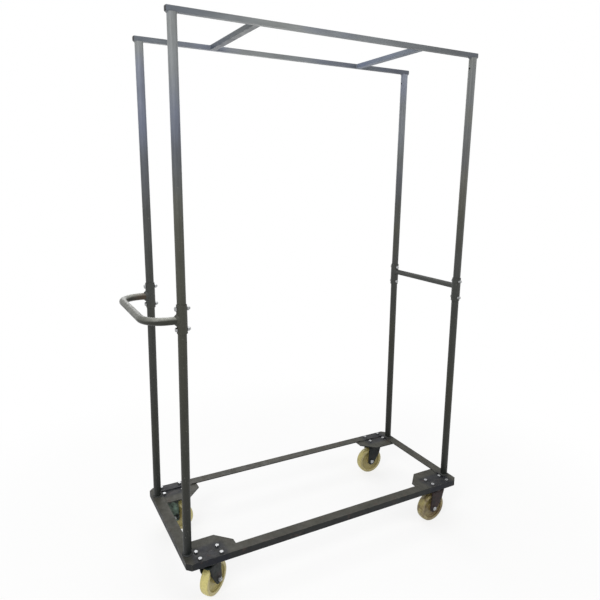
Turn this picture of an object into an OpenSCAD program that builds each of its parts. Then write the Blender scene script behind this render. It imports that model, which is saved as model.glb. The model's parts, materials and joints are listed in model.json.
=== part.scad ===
// Stacking chair trolley: an angle iron base on swivel castors, with four
// two-piece posts, two top rails, a push handle and an end crossbar.
// Origin on the floor at the middle of the bounding box, +X away from the
// push handle, +Y to the rear side, +Z up. Sizes in millimetres.

/* [Base frame] */
// Length of the base along the trolley
base_length = 1192; // [900:1:1500]
// Width of the base across the trolley
base_width = 525; // [420:5:700]
// Width of the flat top flange of the angle iron
flange_width = 40; // [35:1:50]
// Depth of the upright skirt of the angle iron
skirt_depth = 25; // [20:1:36]
// Thickness of the angle iron
angle_thickness = 4; // [3:0.5:6]
// Cut across each outside corner of the base
corner_cut = 16; // [8:1:30]
// Length of a corner plate along the trolley
corner_plate_length = 190; // [150:5:300]
// Depth of a corner plate across the trolley
corner_plate_depth = 125; // [90:5:180]
// Cut across the inside corner of a corner plate
corner_plate_cut = 55; // [10:1:75]
// Thickness of a corner plate
corner_plate_thickness = 5; // [3:0.5:8]

/* [Posts and sleeves] */
// Outside diameter of the posts
post_diameter = 28.6; // [24:0.1:34]
// Wall of the posts
post_wall = 2; // [1.2:0.1:4]
// Distance of a post axis from the side of the base
post_side_offset = 62.5; // [45:0.5:120]
// Lean of the lower posts in their sleeves, outwards at the foot, in degrees
post_splay = 0.6; // [0:0.1:2]
// Height of the joint in the posts above the deck
joint_height = 825; // [500:5:1100]
// Wall of a sleeve
sleeve_wall = 2; // [1.5:0.1:4]
// Least play between a post and its sleeve, on the radius
sleeve_play = 0.2; // [0.1:0.05:0.5]
// Distance between the two bolts of a sleeve
sleeve_bolt_spacing = 66; // [50:1:140]
// Distance from a sleeve bolt to the end of the sleeve
sleeve_bolt_margin = 13; // [10:1:40]
// Diameter of the vent hole near the top of an upper post
vent_diameter = 7; // [4:0.5:10]
// Distance of the vent hole below the top rail
vent_drop = 38; // [20:1:120]

/* [Top rails] */
// Height of the underside of the top rails above the deck
frame_height = 1700; // [1300:10:1900]
// Length of a rail past the axis of a post
rail_overhang = 20; // [16:0.5:60]
// Side of the square tube of the rails, and height of the braces
rail_size = 16; // [12:0.5:28]
// Wall of the rails and braces
rail_wall = 1.5; // [1:0.1:3]
// Width of the braces, along the rails
brace_width = 22; // [12:0.5:40]
// Distance between the two braces
brace_spacing = 630; // [300:1:800]
// Distance of the middle of the braces from the middle of the base, to the right
brace_shift = 9; // [-40:1:40]
// Thickness of the flange of a rail end cap
cap_flange = 3; // [1.5:0.5:6]
// Depth of the plug of a rail end cap
cap_plug = 12; // [6:1:18]

/* [Push handle and crossbar] */
// Outside diameter of the handle tube
handle_diameter = 25.4; // [16:0.1:28]
// Outside diameter of the crossbar tube
crossbar_diameter = 22.2; // [16:0.1:28]
// Wall of the handle and crossbar tube
handle_wall = 2; // [1.2:0.1:3]
// Length of a straight handle leg, from the post axis to the bend
handle_leg = 39; // [24:1:120]
// Bend radius of the handle at the tube axis
handle_bend = 73; // [40:1:120]
// Height of the handle above the middle of its sleeves
handle_rise = -3; // [-15:1:15]
// Height of the crossbar above the middle of its sleeves
crossbar_rise = 12; // [-15:1:15]

/* [Castors] */
// Diameter of the wheels
wheel_diameter = 125; // [100:1:160]
// Width of the tread
tread_width = 32; // [26:1:38]
// Distance of the axle behind the kingpin
castor_trail = 24; // [20:1:40]
// Distance between the castor bolts along the trolley
castor_bolt_length = 76; // [70:0.5:110]
// Distance between the castor bolts across the trolley
castor_bolt_width = 44.5; // [42:0.5:76]
// Distance from a castor bolt to the edge of the castor plate
castor_plate_margin = 9.5; // [8:0.5:16]
// Thickness of a castor plate
castor_plate_thickness = 4; // [3:0.5:6]
// Gap between the castor bolt heads and the end flange
castor_end_gap = 1.5; // [1:0.5:20]
// Gap between a castor plate and the side skirt
castor_side_gap = 1.25; // [0.5:0.25:10]
// Thickness of the fork steel
fork_thickness = 4; // [3:0.5:5]
// Gap between the wheel and the crown of the fork
crown_gap = 8; // [7:0.5:14]
// Height of the swivel head between the fork and the castor plate
head_height = 26; // [24:0.5:50]
// Swivel angle of the front left castor, where 0 trails along +X
swivel_front_left = 36; // [-180:1:180]
// Swivel angle of the front right castor
swivel_front_right = 182; // [0:1:360]
// Swivel angle of the rear left castor
swivel_rear_left = -45; // [-180:1:180]
// Swivel angle of the rear right castor
swivel_rear_right = 178; // [0:1:360]

/* [Fasteners] */
// Diameter of the frame bolts
bolt_diameter = 8; // [5:0.5:10]
// Width across the flats of the frame bolts and nuts
bolt_flats = 13; // [11:0.5:16]
// Height of the frame bolt heads
bolt_head = 5.3; // [3:0.1:6]
// Height of the frame nuts
nut_height = 6.5; // [4:0.1:8]
// Diameter of the washers under the castor nuts
washer_diameter = 16; // [13:0.5:19]
// Thickness of the washers
washer_thickness = 1.6; // [1:0.1:2.5]
// Length of bolt that stands past its nut
bolt_tail = 3; // [1:0.5:6]
// Diameter of the axle bolts
axle_diameter = 10; // [6:0.5:12]
// Width across the flats of the axle bolts and nuts
axle_flats = 16; // [14:0.5:22]
// Height of the axle bolt heads
axle_head = 6.4; // [4:0.1:8]
// Height of the axle nuts
axle_nut_height = 8; // [5:0.1:10]

/* [Hidden] */
$fn = 64;
overrun = 1;
hole_play = 0.3;
axle_play = 0.1;
running_play = 0.05;
hub_play = 0.5;
cap_play = 0.1;
chamfer_share = 0.94;

// Wheel and axle
axle_sleeve_wall = 2;
hub_wall = 11;
hub_step = 3.5;
web_thickness = 14;
rim_thickness = 15;
rim_round = 4;
web_fillet = 4;

// Swivel head
kingpin_diameter = 12;
kingpin_head_wall = 5;
kingpin_head_height = 5;
kingpin_gap = 0.3;
race_radius = 23;
race_height = 13.4;
race_side_gap = 0.8;
cup_wall = 3.2;
cup_lift = 8;
ball_diameter = 7;
ball_circle_radius = 17;
ball_gap = 0.3;
ball_count = 12;
plate_round = 6;
crown_back = 34;
crown_tail = 13;
crown_cut = 6;
shoulder_step = 9;
shoulder_rise = 38;
axle_boss_radius = 18;

// Corners as signs along X and Y
front_left = [-1, -1];
front_right = [1, -1];
rear_left = [-1, 1];
rear_right = [1, 1];
corners = [front_left, front_right, rear_left, rear_right];

// Colours
paint = "#4d4d47";
tube_paint = "#5f6063";
black_plastic = "#1d1e1e";
zinc = "#c9ccd0";
fork_black = "#2b2d2b";
nylon = "#cfc489";

// Heights above the floor
axle_z = wheel_diameter / 2;
crown_under_z = wheel_diameter + crown_gap;
crown_top_z = crown_under_z + fork_thickness;
castor_plate_z = crown_top_z + head_height;
corner_plate_z = castor_plate_z + castor_plate_thickness;
flange_z = corner_plate_z + corner_plate_thickness;
deck_z = flange_z + angle_thickness;
skirt_z = deck_z - skirt_depth;
race_top_z = crown_top_z + race_height;
ball_z = race_top_z + ball_gap + ball_diameter / 2;
seat_z = ball_z + ball_diameter / 2 + ball_gap;
cup_z = crown_top_z + cup_lift;
joint_z = deck_z + joint_height;
handle_z = joint_z + handle_rise;
crossbar_z = joint_z + crossbar_rise;
rail_z = deck_z + frame_height;

// Places in plan
half_length = base_length / 2;
half_width = base_width / 2;
foot_half_x = half_length - flange_width / 2;
post_half_x = foot_half_x - joint_height * tan(post_splay);
post_half_y = half_width - post_side_offset;
inner_half_length = half_length - angle_thickness;
inner_half_width = half_width - angle_thickness;
inner_cut = corner_cut - angle_thickness * (2 - sqrt(2));
cut_start_x = half_length - corner_cut;
cut_start_y = inner_half_length + inner_half_width - inner_cut - cut_start_x;
flange_inner_x = half_length - flange_width;
flange_inner_y = half_width - flange_width;
rail_half_length = post_half_x + rail_overhang;

// Castor plates and the places of the kingpins
castor_plate_length = castor_bolt_length + 2 * castor_plate_margin;
castor_plate_width = castor_bolt_width + 2 * castor_plate_margin;
bolt_head_radius = bolt_flats / (2 * cos(30));
castor_end_offset = flange_width + castor_end_gap + bolt_head_radius + castor_bolt_length / 2;
castor_side_offset = angle_thickness + castor_side_gap + castor_plate_width / 2;

// Tubes and holes
sleeve_length = sleeve_bolt_spacing + 2 * sleeve_bolt_margin;
handle_reach = handle_leg + handle_bend;
sleeve_bore = post_diameter + 2 * sleeve_play + sleeve_length * tan(post_splay);
sleeve_diameter = sleeve_bore + 2 * sleeve_wall;
bolt_hole = bolt_diameter + 2 * hole_play;
axle_hole = axle_diameter + 2 * axle_play;
axle_sleeve_diameter = axle_hole + 2 * axle_sleeve_wall;
wheel_bore = axle_sleeve_diameter + 2 * running_play;
kingpin_hole = kingpin_diameter + 2 * running_play;
hub_width = tread_width + 2 * hub_step;
fork_gap = hub_width + 2 * hub_play;
fork_width = fork_gap + 2 * fork_thickness;
crown_front = castor_trail + crown_tail;

// Middle of the base, set so that the whole trolley is centred on the origin
left_reach = post_half_x + handle_reach + handle_diameter / 2;
right_reach = max(half_length, rail_half_length, post_half_x + sleeve_diameter / 2);
base_x = (left_reach - right_reach) / 2;

// Places of the post axis and the kingpin at a corner
function post_place(c) = [base_x + c[0] * post_half_x, c[1] * post_half_y];
function kingpin_place(c) = [
    base_x + c[0] * (half_length - castor_end_offset),
    c[1] * (half_width - castor_side_offset)
];

// Places of the castor bolts at a corner: side 1 is the pair near the edge
function castor_bolt_places(c, side) = [
    for (end = [-1, 1])
        kingpin_place(c) + [end * castor_bolt_length, c[1] * side * castor_bolt_width] / 2
];

// Heights of the two bolts of a sleeve
function sleeve_bolt_heights() = [for (s = [-1, 1]) joint_z + s * sleeve_bolt_spacing / 2];

// Heading of the heads of a sleeve's bolts: outwards at the left, inwards along the crossbar
function sleeve_bolt_heading(c) = c[0] < 0 ? 180 : -90 * c[1];

// Point where a line from a place outside a circle touches the circle
function tangent_point(place, centre, radius, turn) =
    let (line = place - centre, angle = atan2(line[1], line[0]) + turn * acos(radius / norm(line)))
    centre + radius * [cos(angle), sin(angle)];

// Moves a shape to a place in plan and a height
module put(place, z) {
    translate([place[0], place[1], z]) children();
}

// Mirrors a shape made for the rear right corner into another corner
module corner_of_base(c) {
    translate([base_x, 0, 0])
        mirror([c[0] < 0 ? 1 : 0, 0, 0])
            mirror([0, c[1] < 0 ? 1 : 0, 0])
                children();
}

// Ring, the section of a round tube
module ring(outside, wall) {
    difference() {
        circle(d = outside);
        circle(d = outside - 2 * wall);
    }
}

// Section of a square tube
module square_ring(outside, wall) {
    box_ring([outside, outside], wall);
}

// Section of a rectangular tube
module box_ring(outside, wall) {
    difference() {
        square(outside, center = true);
        square(outside - 2 * [wall, wall], center = true);
    }
}

// Rectangle with round corners, centred
module round_rectangle(length, width, radius) {
    square([length, width - 2 * radius], center = true);
    square([length - 2 * radius, width], center = true);
    for (sx = [-1, 1], sy = [-1, 1])
        translate([sx * (length / 2 - radius), sy * (width / 2 - radius)]) circle(r = radius);
}

// Fillet between a floor along -X and a wall along +Y that meet at the origin
module inner_fillet(radius) {
    difference() {
        translate([-radius, 0]) square(radius);
        translate([-radius, radius]) circle(r = radius);
    }
}

// Hexagon prism with its top edges turned to a cone, seat at zero
module hexagon(flats, height) {
    top = flats * chamfer_share;
    intersection() {
        cylinder(d = flats / cos(30), h = height, $fn = 6);
        cylinder(d1 = top + 2 * height, d2 = top, h = height);
    }
}

// Bolt with its head above zero and its shank below
module bolt(diameter, flats, head, length) {
    hexagon(flats, head);
    translate([0, 0, -length]) cylinder(d = diameter, h = length);
}

// Nut hanging below zero
module nut(diameter, flats, height) {
    mirror([0, 0, 1])
        difference() {
            hexagon(flats, height);
            translate([0, 0, -overrun]) cylinder(d = diameter, h = height + 2 * overrun);
        }
}

// Holes of a pair of castor bolts, through any thickness
module castor_bolt_holes(c, side, z, thickness) {
    for (place = castor_bolt_places(c, side))
        put(place, z - overrun) cylinder(d = bolt_hole, h = thickness + 2 * overrun);
}

// Angle iron along one side, drawn for the rear and mirrored for the front
module side_rail(side) {
    color(paint)
        difference() {
            translate([base_x, 0, 0])
                mirror([0, side < 0 ? 1 : 0, 0]) {
                    translate([0, 0, flange_z])
                        linear_extrude(angle_thickness)
                            polygon([
                                [-inner_half_length, flange_inner_y],
                                [inner_half_length, flange_inner_y],
                                [inner_half_length, inner_half_width - inner_cut],
                                [inner_half_length - inner_cut, inner_half_width],
                                [inner_cut - inner_half_length, inner_half_width],
                                [-inner_half_length, inner_half_width - inner_cut]
                            ]);
                    translate([0, 0, skirt_z])
                        linear_extrude(skirt_depth)
                            polygon([
                                [-cut_start_x, cut_start_y],
                                [inner_cut - inner_half_length, inner_half_width],
                                [inner_half_length - inner_cut, inner_half_width],
                                [cut_start_x, cut_start_y],
                                [cut_start_x, half_width],
                                [-cut_start_x, half_width]
                            ]);
                }
            for (end = [-1, 1])
                castor_bolt_holes([end, side], 1, flange_z, angle_thickness);
        }
}

// Angle iron across one end with its cut corners, drawn for the right end
module end_rail(end) {
    color(paint)
        translate([base_x, 0, 0])
            mirror([end < 0 ? 1 : 0, 0, 0]) {
                translate([flange_inner_x, -flange_inner_y, flange_z])
                    cube([flange_width - angle_thickness, 2 * flange_inner_y, angle_thickness]);
                translate([0, 0, skirt_z])
                    linear_extrude(skirt_depth)
                        polygon([
                            [cut_start_x, -half_width],
                            [half_length, corner_cut - half_width],
                            [half_length, half_width - corner_cut],
                            [cut_start_x, half_width],
                            [cut_start_x, cut_start_y],
                            [inner_half_length, inner_half_width - inner_cut],
                            [inner_half_length, inner_cut - inner_half_width],
                            [cut_start_x, -cut_start_y]
                        ]);
            }
}

// Plate under the angle iron that carries a castor
module corner_plate(c) {
    plate_x = half_length - corner_plate_length;
    plate_y = half_width - corner_plate_depth;
    color(paint)
        difference() {
            corner_of_base(c)
                translate([0, 0, corner_plate_z])
                    linear_extrude(corner_plate_thickness)
                        polygon([
                            [inner_half_length, plate_y],
                            [inner_half_length, inner_half_width - inner_cut],
                            [inner_half_length - inner_cut, inner_half_width],
                            [plate_x, inner_half_width],
                            [plate_x, plate_y + corner_plate_cut],
                            [plate_x + corner_plate_cut, plate_y]
                        ]);
            for (side = [-1, 1])
                castor_bolt_holes(c, side, corner_plate_z, corner_plate_thickness);
        }
}

// Hole for a sleeve bolt, level through a post axis
module sleeve_bolt_hole(c, z) {
    put(post_place(c), z)
        rotate([0, 90, sleeve_bolt_heading(c)])
            cylinder(d = bolt_hole, h = sleeve_diameter + 2 * overrun, center = true);
}

// Post from the deck up to the joint, leaning out at the foot and cut level at both ends
module lower_post(c) {
    color(paint)
        difference() {
            intersection() {
                put(post_place(c), joint_z)
                    rotate([0, -c[0] * post_splay, 0])
                        linear_extrude(2 * joint_height + 2 * post_diameter, center = true)
                            ring(post_diameter, post_wall);
                put(post_place(c), deck_z)
                    linear_extrude(joint_height)
                        square(2 * (post_diameter + foot_half_x - post_half_x), center = true);
            }
            sleeve_bolt_hole(c, sleeve_bolt_heights()[0]);
        }
}

// Post from the joint up to the top rail, with a vent hole on its inner side
module upper_post(c) {
    color(tube_paint)
        difference() {
            put(post_place(c), joint_z)
                linear_extrude(frame_height - joint_height) ring(post_diameter, post_wall);
            sleeve_bolt_hole(c, sleeve_bolt_heights()[1]);
            put(post_place(c), rail_z - vent_drop)
                rotate([0, -90 * c[0], 0])
                    cylinder(d = vent_diameter, h = post_diameter);
        }
}

// Sleeve over the joint of a post
module sleeve(c) {
    color(paint)
        difference() {
            put(post_place(c), joint_z - sleeve_length / 2)
                linear_extrude(sleeve_length) ring(sleeve_diameter, sleeve_wall);
            for (z = sleeve_bolt_heights())
                sleeve_bolt_hole(c, z);
        }
}

// Places a fastener on a sleeve, on the side of the heads or on the side of the nuts
module on_sleeve(c, z, side) {
    put(post_place(c), z)
        rotate([0, 90, sleeve_bolt_heading(c)])
            translate([0, 0, side * sleeve_diameter / 2])
                children();
}

// Bolts through the sleeves
module sleeve_bolts() {
    color(zinc)
        for (c = corners, z = sleeve_bolt_heights())
            on_sleeve(c, z, 1)
                bolt(bolt_diameter, bolt_flats, bolt_head, sleeve_diameter + nut_height + bolt_tail);
}

// Nuts of the sleeve bolts, on the sides away from the heads
module sleeve_nuts() {
    color(zinc)
        for (c = corners, z = sleeve_bolt_heights())
            on_sleeve(c, z, -1)
                nut(bolt_hole, bolt_flats, nut_height);
}

// Room of the two sleeves at one end, for the coped tube ends
module sleeve_room(end) {
    for (side = [-1, 1])
        put(post_place([end, side]), joint_z)
            cylinder(d = sleeve_diameter, h = sleeve_length, center = true);
}

// Push handle: one tube with two bends, coped to the left sleeves
module push_handle() {
    grip_half = post_half_y - handle_bend;
    bend_x = handle_bend - handle_reach;
    color(tube_paint)
        difference() {
            translate([base_x - post_half_x, 0, handle_z]) {
                translate([-handle_reach, grip_half, 0])
                    rotate([90, 0, 0])
                        linear_extrude(2 * grip_half) ring(handle_diameter, handle_wall);
                for (side = [-1, 1]) {
                    translate([bend_x, side * post_half_y, 0])
                        rotate([0, 90, 0])
                            linear_extrude(-bend_x) ring(handle_diameter, handle_wall);
                    translate([bend_x, side * grip_half, 0])
                        rotate([0, 0, side > 0 ? 90 : 180])
                            rotate_extrude(angle = 90)
                                translate([handle_bend, 0]) ring(handle_diameter, handle_wall);
                }
            }
            sleeve_room(-1);
        }
}

// Crossbar between the right sleeves
module end_crossbar() {
    color(tube_paint)
        difference() {
            translate([base_x + post_half_x, post_half_y, crossbar_z])
                rotate([90, 0, 0])
                    linear_extrude(2 * post_half_y) ring(crossbar_diameter, handle_wall);
            sleeve_room(1);
        }
}

// Square tube along the top of the posts on one side
module top_rail(side) {
    rail_half = rail_half_length - cap_flange;
    color(tube_paint)
        translate([base_x - rail_half, side * post_half_y, rail_z + rail_size / 2])
            rotate([0, 90, 0])
                linear_extrude(2 * rail_half) square_ring(rail_size, rail_wall);
}

// Tube between the two top rails, as high as they are
module top_brace(end) {
    brace_half = post_half_y - rail_size / 2;
    brace_x = base_x + brace_shift + end * brace_spacing / 2;
    color(tube_paint)
        translate([brace_x, brace_half, rail_z + rail_size / 2])
            rotate([90, 0, 0])
                linear_extrude(2 * brace_half)
                    box_ring([brace_width, rail_size], rail_wall);
}

// Plastic caps in the ends of the top rails
module rail_end_caps() {
    plug_size = rail_size - 2 * (rail_wall + cap_play);
    color(black_plastic)
        for (c = corners)
            translate([base_x + c[0] * rail_half_length, c[1] * post_half_y, rail_z + rail_size / 2])
                rotate([0, -90 * c[0], 0]) {
                    linear_extrude(cap_flange) square(rail_size, center = true);
                    linear_extrude(cap_flange + cap_plug) square(plug_size, center = true);
                }
}

// Castor bolts, heads on the angle iron near the edge and on the plate inside
module castor_bolts() {
    color(zinc)
        for (c = corners, side = [-1, 1], place = castor_bolt_places(c, side)) {
            head_z = side > 0 ? deck_z : flange_z;
            reach = head_z - castor_plate_z + washer_thickness + nut_height + bolt_tail;
            put(place, head_z) bolt(bolt_diameter, bolt_flats, bolt_head, reach);
        }
}

// Washers under the castor plates
module castor_washers() {
    color(zinc)
        for (c = corners, side = [-1, 1], place = castor_bolt_places(c, side))
            put(place, castor_plate_z - washer_thickness)
                linear_extrude(washer_thickness)
                    ring(washer_diameter, (washer_diameter - bolt_hole) / 2);
}

// Nuts of the castor bolts
module castor_nuts() {
    color(zinc)
        for (c = corners, side = [-1, 1], place = castor_bolt_places(c, side))
            put(place, castor_plate_z - washer_thickness)
                nut(bolt_hole, bolt_flats, nut_height);
}

// Castor plate with the upper ball seat and its cup
module castor_plate(c) {
    cup_radius = race_radius + race_side_gap;
    color(fork_black)
        difference() {
            put(kingpin_place(c), 0) {
                translate([0, 0, castor_plate_z])
                    linear_extrude(castor_plate_thickness)
                        round_rectangle(castor_plate_length, castor_plate_width, plate_round);
                translate([0, 0, cup_z])
                    cylinder(r = cup_radius + cup_wall, h = castor_plate_z - cup_z);
            }
            put(kingpin_place(c), cup_z - overrun)
                cylinder(r = cup_radius, h = seat_z - cup_z + overrun);
            put(kingpin_place(c), cup_z)
                cylinder(d = kingpin_hole, h = corner_plate_z - cup_z + overrun);
            for (side = [-1, 1])
                castor_bolt_holes(c, side, castor_plate_z, castor_plate_thickness);
        }
}

// Kingpins, held in the castor plates, with a head under each fork
module kingpins() {
    head_z = crown_under_z - kingpin_gap - kingpin_head_height;
    color(zinc)
        for (c = corners)
            put(kingpin_place(c), head_z) {
                cylinder(d = kingpin_diameter, h = corner_plate_z - head_z);
                cylinder(d = kingpin_diameter + 2 * kingpin_head_wall, h = kingpin_head_height);
            }
}

// Balls between each castor plate and its fork
module swivel_balls() {
    color(zinc)
        for (c = corners, i = [0 : ball_count - 1])
            put(kingpin_place(c), ball_z)
                rotate([0, 0, i * 360 / ball_count])
                    translate([ball_circle_radius, 0, 0])
                        sphere(d = ball_diameter);
}

// Turns a castor piece, drawn with its trail along +X, to its swivel angle
module castor_at(c, swivel) {
    put(kingpin_place(c), 0) rotate([0, 0, swivel]) children();
}

// Moves a piece drawn about +Z onto the axle, with +Z turned to -Y
module on_axle(offset) {
    translate([castor_trail, -offset, axle_z]) rotate([90, 0, 0]) children();
}

// Outline of a fork leg, from the crown down past a shoulder to the boss round the axle
module fork_leg_outline() {
    axle = [castor_trail, axle_z];
    top_back = crown_cut - crown_back;
    shoulder = [top_back + shoulder_step, axle_z + shoulder_rise];
    top_front = [crown_front, crown_top_z];
    polygon([
        [top_back, crown_top_z],
        shoulder,
        tangent_point(shoulder, axle, axle_boss_radius, 1),
        axle,
        tangent_point(top_front, axle, axle_boss_radius, -1),
        top_front
    ]);
    translate(axle) circle(r = axle_boss_radius);
}

// Fork: crown, lower ball race and two legs
module fork(c, swivel) {
    color(fork_black)
        castor_at(c, swivel)
            difference() {
                union() {
                    translate([0, 0, crown_under_z])
                        linear_extrude(fork_thickness)
                            polygon([
                                [-crown_back, crown_cut - fork_width / 2],
                                [crown_cut - crown_back, -fork_width / 2],
                                [crown_front, -fork_width / 2],
                                [crown_front, fork_width / 2],
                                [crown_cut - crown_back, fork_width / 2],
                                [-crown_back, fork_width / 2 - crown_cut]
                            ]);
                    translate([0, 0, crown_under_z])
                        cylinder(r = race_radius, h = race_top_z - crown_under_z);
                    for (y = [-fork_gap / 2, fork_width / 2])
                        translate([0, y, 0])
                            rotate([90, 0, 0])
                                linear_extrude(fork_thickness) fork_leg_outline();
                }
                translate([0, 0, crown_under_z - overrun])
                    cylinder(d = kingpin_hole, h = race_top_z - crown_under_z + 2 * overrun);
                on_axle(0)
                    cylinder(d = axle_hole, h = fork_width + 2 * overrun, center = true);
            }
}

// Tube on the axle bolt that the wheel turns on
module axle_sleeve(c, swivel) {
    color(zinc)
        castor_at(c, swivel)
            on_axle(-fork_gap / 2)
                linear_extrude(fork_gap) ring(axle_sleeve_diameter, axle_sleeve_wall);
}

// Axle bolt, its head on the +Y side of the fork before swivelling
module axle_bolt(c, swivel) {
    color(zinc)
        castor_at(c, swivel)
            on_axle(-fork_width / 2)
                mirror([0, 0, 1])
                    bolt(axle_diameter, axle_flats, axle_head, fork_width + axle_nut_height + bolt_tail);
}

// Axle nut, on the -Y side of the fork before swivelling
module axle_nut(c, swivel) {
    color(zinc)
        castor_at(c, swivel)
            on_axle(fork_width / 2)
                mirror([0, 0, 1]) nut(axle_hole, axle_flats, axle_nut_height);
}

// Wheel with a tread, a web recessed on both sides and a hub
module wheel(c, swivel) {
    radius = wheel_diameter / 2;
    bore = wheel_bore / 2;
    rim_radius = radius - rim_thickness;
    color(nylon)
        castor_at(c, swivel)
            on_axle(0)
                rotate_extrude() {
                    translate([bore, -hub_width / 2]) square([hub_wall, hub_width]);
                    translate([bore, -web_thickness / 2]) square([rim_radius - bore + overrun, web_thickness]);
                    translate([(radius + rim_radius) / 2, 0])
                        round_rectangle(rim_thickness, tread_width, rim_round);
                    for (side = [0, 1])
                        mirror([0, side])
                            translate([0, web_thickness / 2]) {
                                translate([rim_radius, 0]) inner_fillet(web_fillet);
                                translate([bore + hub_wall, 0]) mirror([1, 0]) inner_fillet(web_fillet);
                            }
                }
}

side_rail(-1);  // side_rail_front
side_rail(1);  // side_rail_rear
end_rail(-1);  // end_rail_left
end_rail(1);  // end_rail_right
corner_plate(front_left);  // corner_plate_front_left
corner_plate(front_right);  // corner_plate_front_right
corner_plate(rear_left);  // corner_plate_rear_left
corner_plate(rear_right);  // corner_plate_rear_right
lower_post(front_left);  // lower_post_front_left
lower_post(front_right);  // lower_post_front_right
lower_post(rear_left);  // lower_post_rear_left
lower_post(rear_right);  // lower_post_rear_right
upper_post(front_left);  // upper_post_front_left
upper_post(front_right);  // upper_post_front_right
upper_post(rear_left);  // upper_post_rear_left
upper_post(rear_right);  // upper_post_rear_right
sleeve(front_left);  // sleeve_front_left
sleeve(front_right);  // sleeve_front_right
sleeve(rear_left);  // sleeve_rear_left
sleeve(rear_right);  // sleeve_rear_right
sleeve_bolts();
sleeve_nuts();
push_handle();
end_crossbar();
top_rail(-1);  // top_rail_front
top_rail(1);  // top_rail_rear
top_brace(-1);  // top_brace_left
top_brace(1);  // top_brace_right
rail_end_caps();
castor_bolts();
castor_washers();
castor_nuts();
castor_plate(front_left);  // castor_plate_front_left
castor_plate(front_right);  // castor_plate_front_right
castor_plate(rear_left);  // castor_plate_rear_left
castor_plate(rear_right);  // castor_plate_rear_right
kingpins();
swivel_balls();
fork(front_left, swivel_front_left);  // fork_front_left
fork(front_right, swivel_front_right);  // fork_front_right
fork(rear_left, swivel_rear_left);  // fork_rear_left
fork(rear_right, swivel_rear_right);  // fork_rear_right
axle_sleeve(front_left, swivel_front_left);  // axle_sleeve_front_left
axle_sleeve(front_right, swivel_front_right);  // axle_sleeve_front_right
axle_sleeve(rear_left, swivel_rear_left);  // axle_sleeve_rear_left
axle_sleeve(rear_right, swivel_rear_right);  // axle_sleeve_rear_right
axle_bolt(front_left, swivel_front_left);  // axle_bolt_front_left
axle_bolt(front_right, swivel_front_right);  // axle_bolt_front_right
axle_bolt(rear_left, swivel_rear_left);  // axle_bolt_rear_left
axle_bolt(rear_right, swivel_rear_right);  // axle_bolt_rear_right
axle_nut(front_left, swivel_front_left);  // axle_nut_front_left
axle_nut(front_right, swivel_front_right);  // axle_nut_front_right
axle_nut(rear_left, swivel_rear_left);  // axle_nut_rear_left
axle_nut(rear_right, swivel_rear_right);  // axle_nut_rear_right
wheel(front_left, swivel_front_left);  // wheel_front_left
wheel(front_right, swivel_front_right);  // wheel_front_right
wheel(rear_left, swivel_rear_left);  // wheel_rear_left
wheel(rear_right, swivel_rear_right);  // wheel_rear_right
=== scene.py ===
"""Looks of the stacking chair trolley.

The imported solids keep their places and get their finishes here. New pieces are added where
the solids stop short of the real thing: weld beads, bolt threads, domed rail caps, moulded
wheels with a crowned tread and forks with rounded bends. Lengths are in metres.
"""

from __future__ import annotations

import json
import logging
import math
from collections.abc import Iterable, Iterator
from dataclasses import dataclass, field, replace
from enum import Enum
from typing import Any

import bpy
import numpy as np
import numpy.typing as npt
from mathutils import Matrix, Vector

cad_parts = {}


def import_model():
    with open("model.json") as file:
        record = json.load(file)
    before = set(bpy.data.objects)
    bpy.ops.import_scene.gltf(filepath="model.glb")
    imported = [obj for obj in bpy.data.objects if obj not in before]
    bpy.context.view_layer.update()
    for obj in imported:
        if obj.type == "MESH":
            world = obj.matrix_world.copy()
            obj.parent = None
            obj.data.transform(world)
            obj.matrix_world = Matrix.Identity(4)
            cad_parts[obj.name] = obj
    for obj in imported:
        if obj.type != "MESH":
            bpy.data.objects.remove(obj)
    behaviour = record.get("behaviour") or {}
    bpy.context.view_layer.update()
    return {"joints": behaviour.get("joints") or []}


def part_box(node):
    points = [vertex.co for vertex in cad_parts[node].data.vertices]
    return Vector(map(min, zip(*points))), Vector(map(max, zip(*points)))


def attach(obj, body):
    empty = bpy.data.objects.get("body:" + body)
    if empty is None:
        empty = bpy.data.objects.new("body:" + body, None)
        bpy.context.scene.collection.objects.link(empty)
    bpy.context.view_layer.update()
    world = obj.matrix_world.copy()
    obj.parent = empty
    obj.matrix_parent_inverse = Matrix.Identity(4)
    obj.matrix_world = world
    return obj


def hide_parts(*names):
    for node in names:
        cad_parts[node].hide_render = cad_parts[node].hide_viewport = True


Array = npt.NDArray[np.float64]
Stops = tuple[tuple[float, str], ...]
Pair = tuple[float, float]
Triple = tuple[float, float, float]
Socket = bpy.types.NodeSocket
Material = bpy.types.Material
Colour = tuple[float, float, float, float]

LOG = logging.getLogger("trolley")
MM = 0.001
AHEAD = np.array([1.0, 0.0, 0.0])
ACROSS = np.array([0.0, 1.0, 0.0])
UP = np.array([0.0, 0.0, 1.0])
FULL_TURN = 2 * math.pi
SHARP_ANGLE = math.radians(42)
WHITE = "#ffffff"


class Corner(Enum):
    """A corner of the trolley: its name and its signs along X and Y."""

    FRONT_LEFT = ("front_left", -1, -1)
    FRONT_RIGHT = ("front_right", 1, -1)
    REAR_LEFT = ("rear_left", -1, 1)
    REAR_RIGHT = ("rear_right", 1, 1)

    @property
    def tag(self) -> str:
        """Name of the corner, as the nodes and bodies use it."""
        return self.value[0]

    @property
    def signs(self) -> Array:
        """Signs of the corner along X and Y."""
        return np.array(self.value[1:], float)


class Way(Enum):
    """Way that a tube runs, with the factors that draw its paint's streaks out along it."""

    UPRIGHT = (1.0, 1.0, 0.05)
    LENGTH = (0.05, 1.0, 1.0)
    WIDTH = (1.0, 0.05, 1.0)


class Slot(Enum):
    """Material slots of the record."""

    BASE = "base_paint"
    TUBE = "tube_paint"
    CAP = "cap_plastic"
    ZINC = "zinc"
    FORK = "fork_steel"
    NYLON = "nylon"


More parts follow.
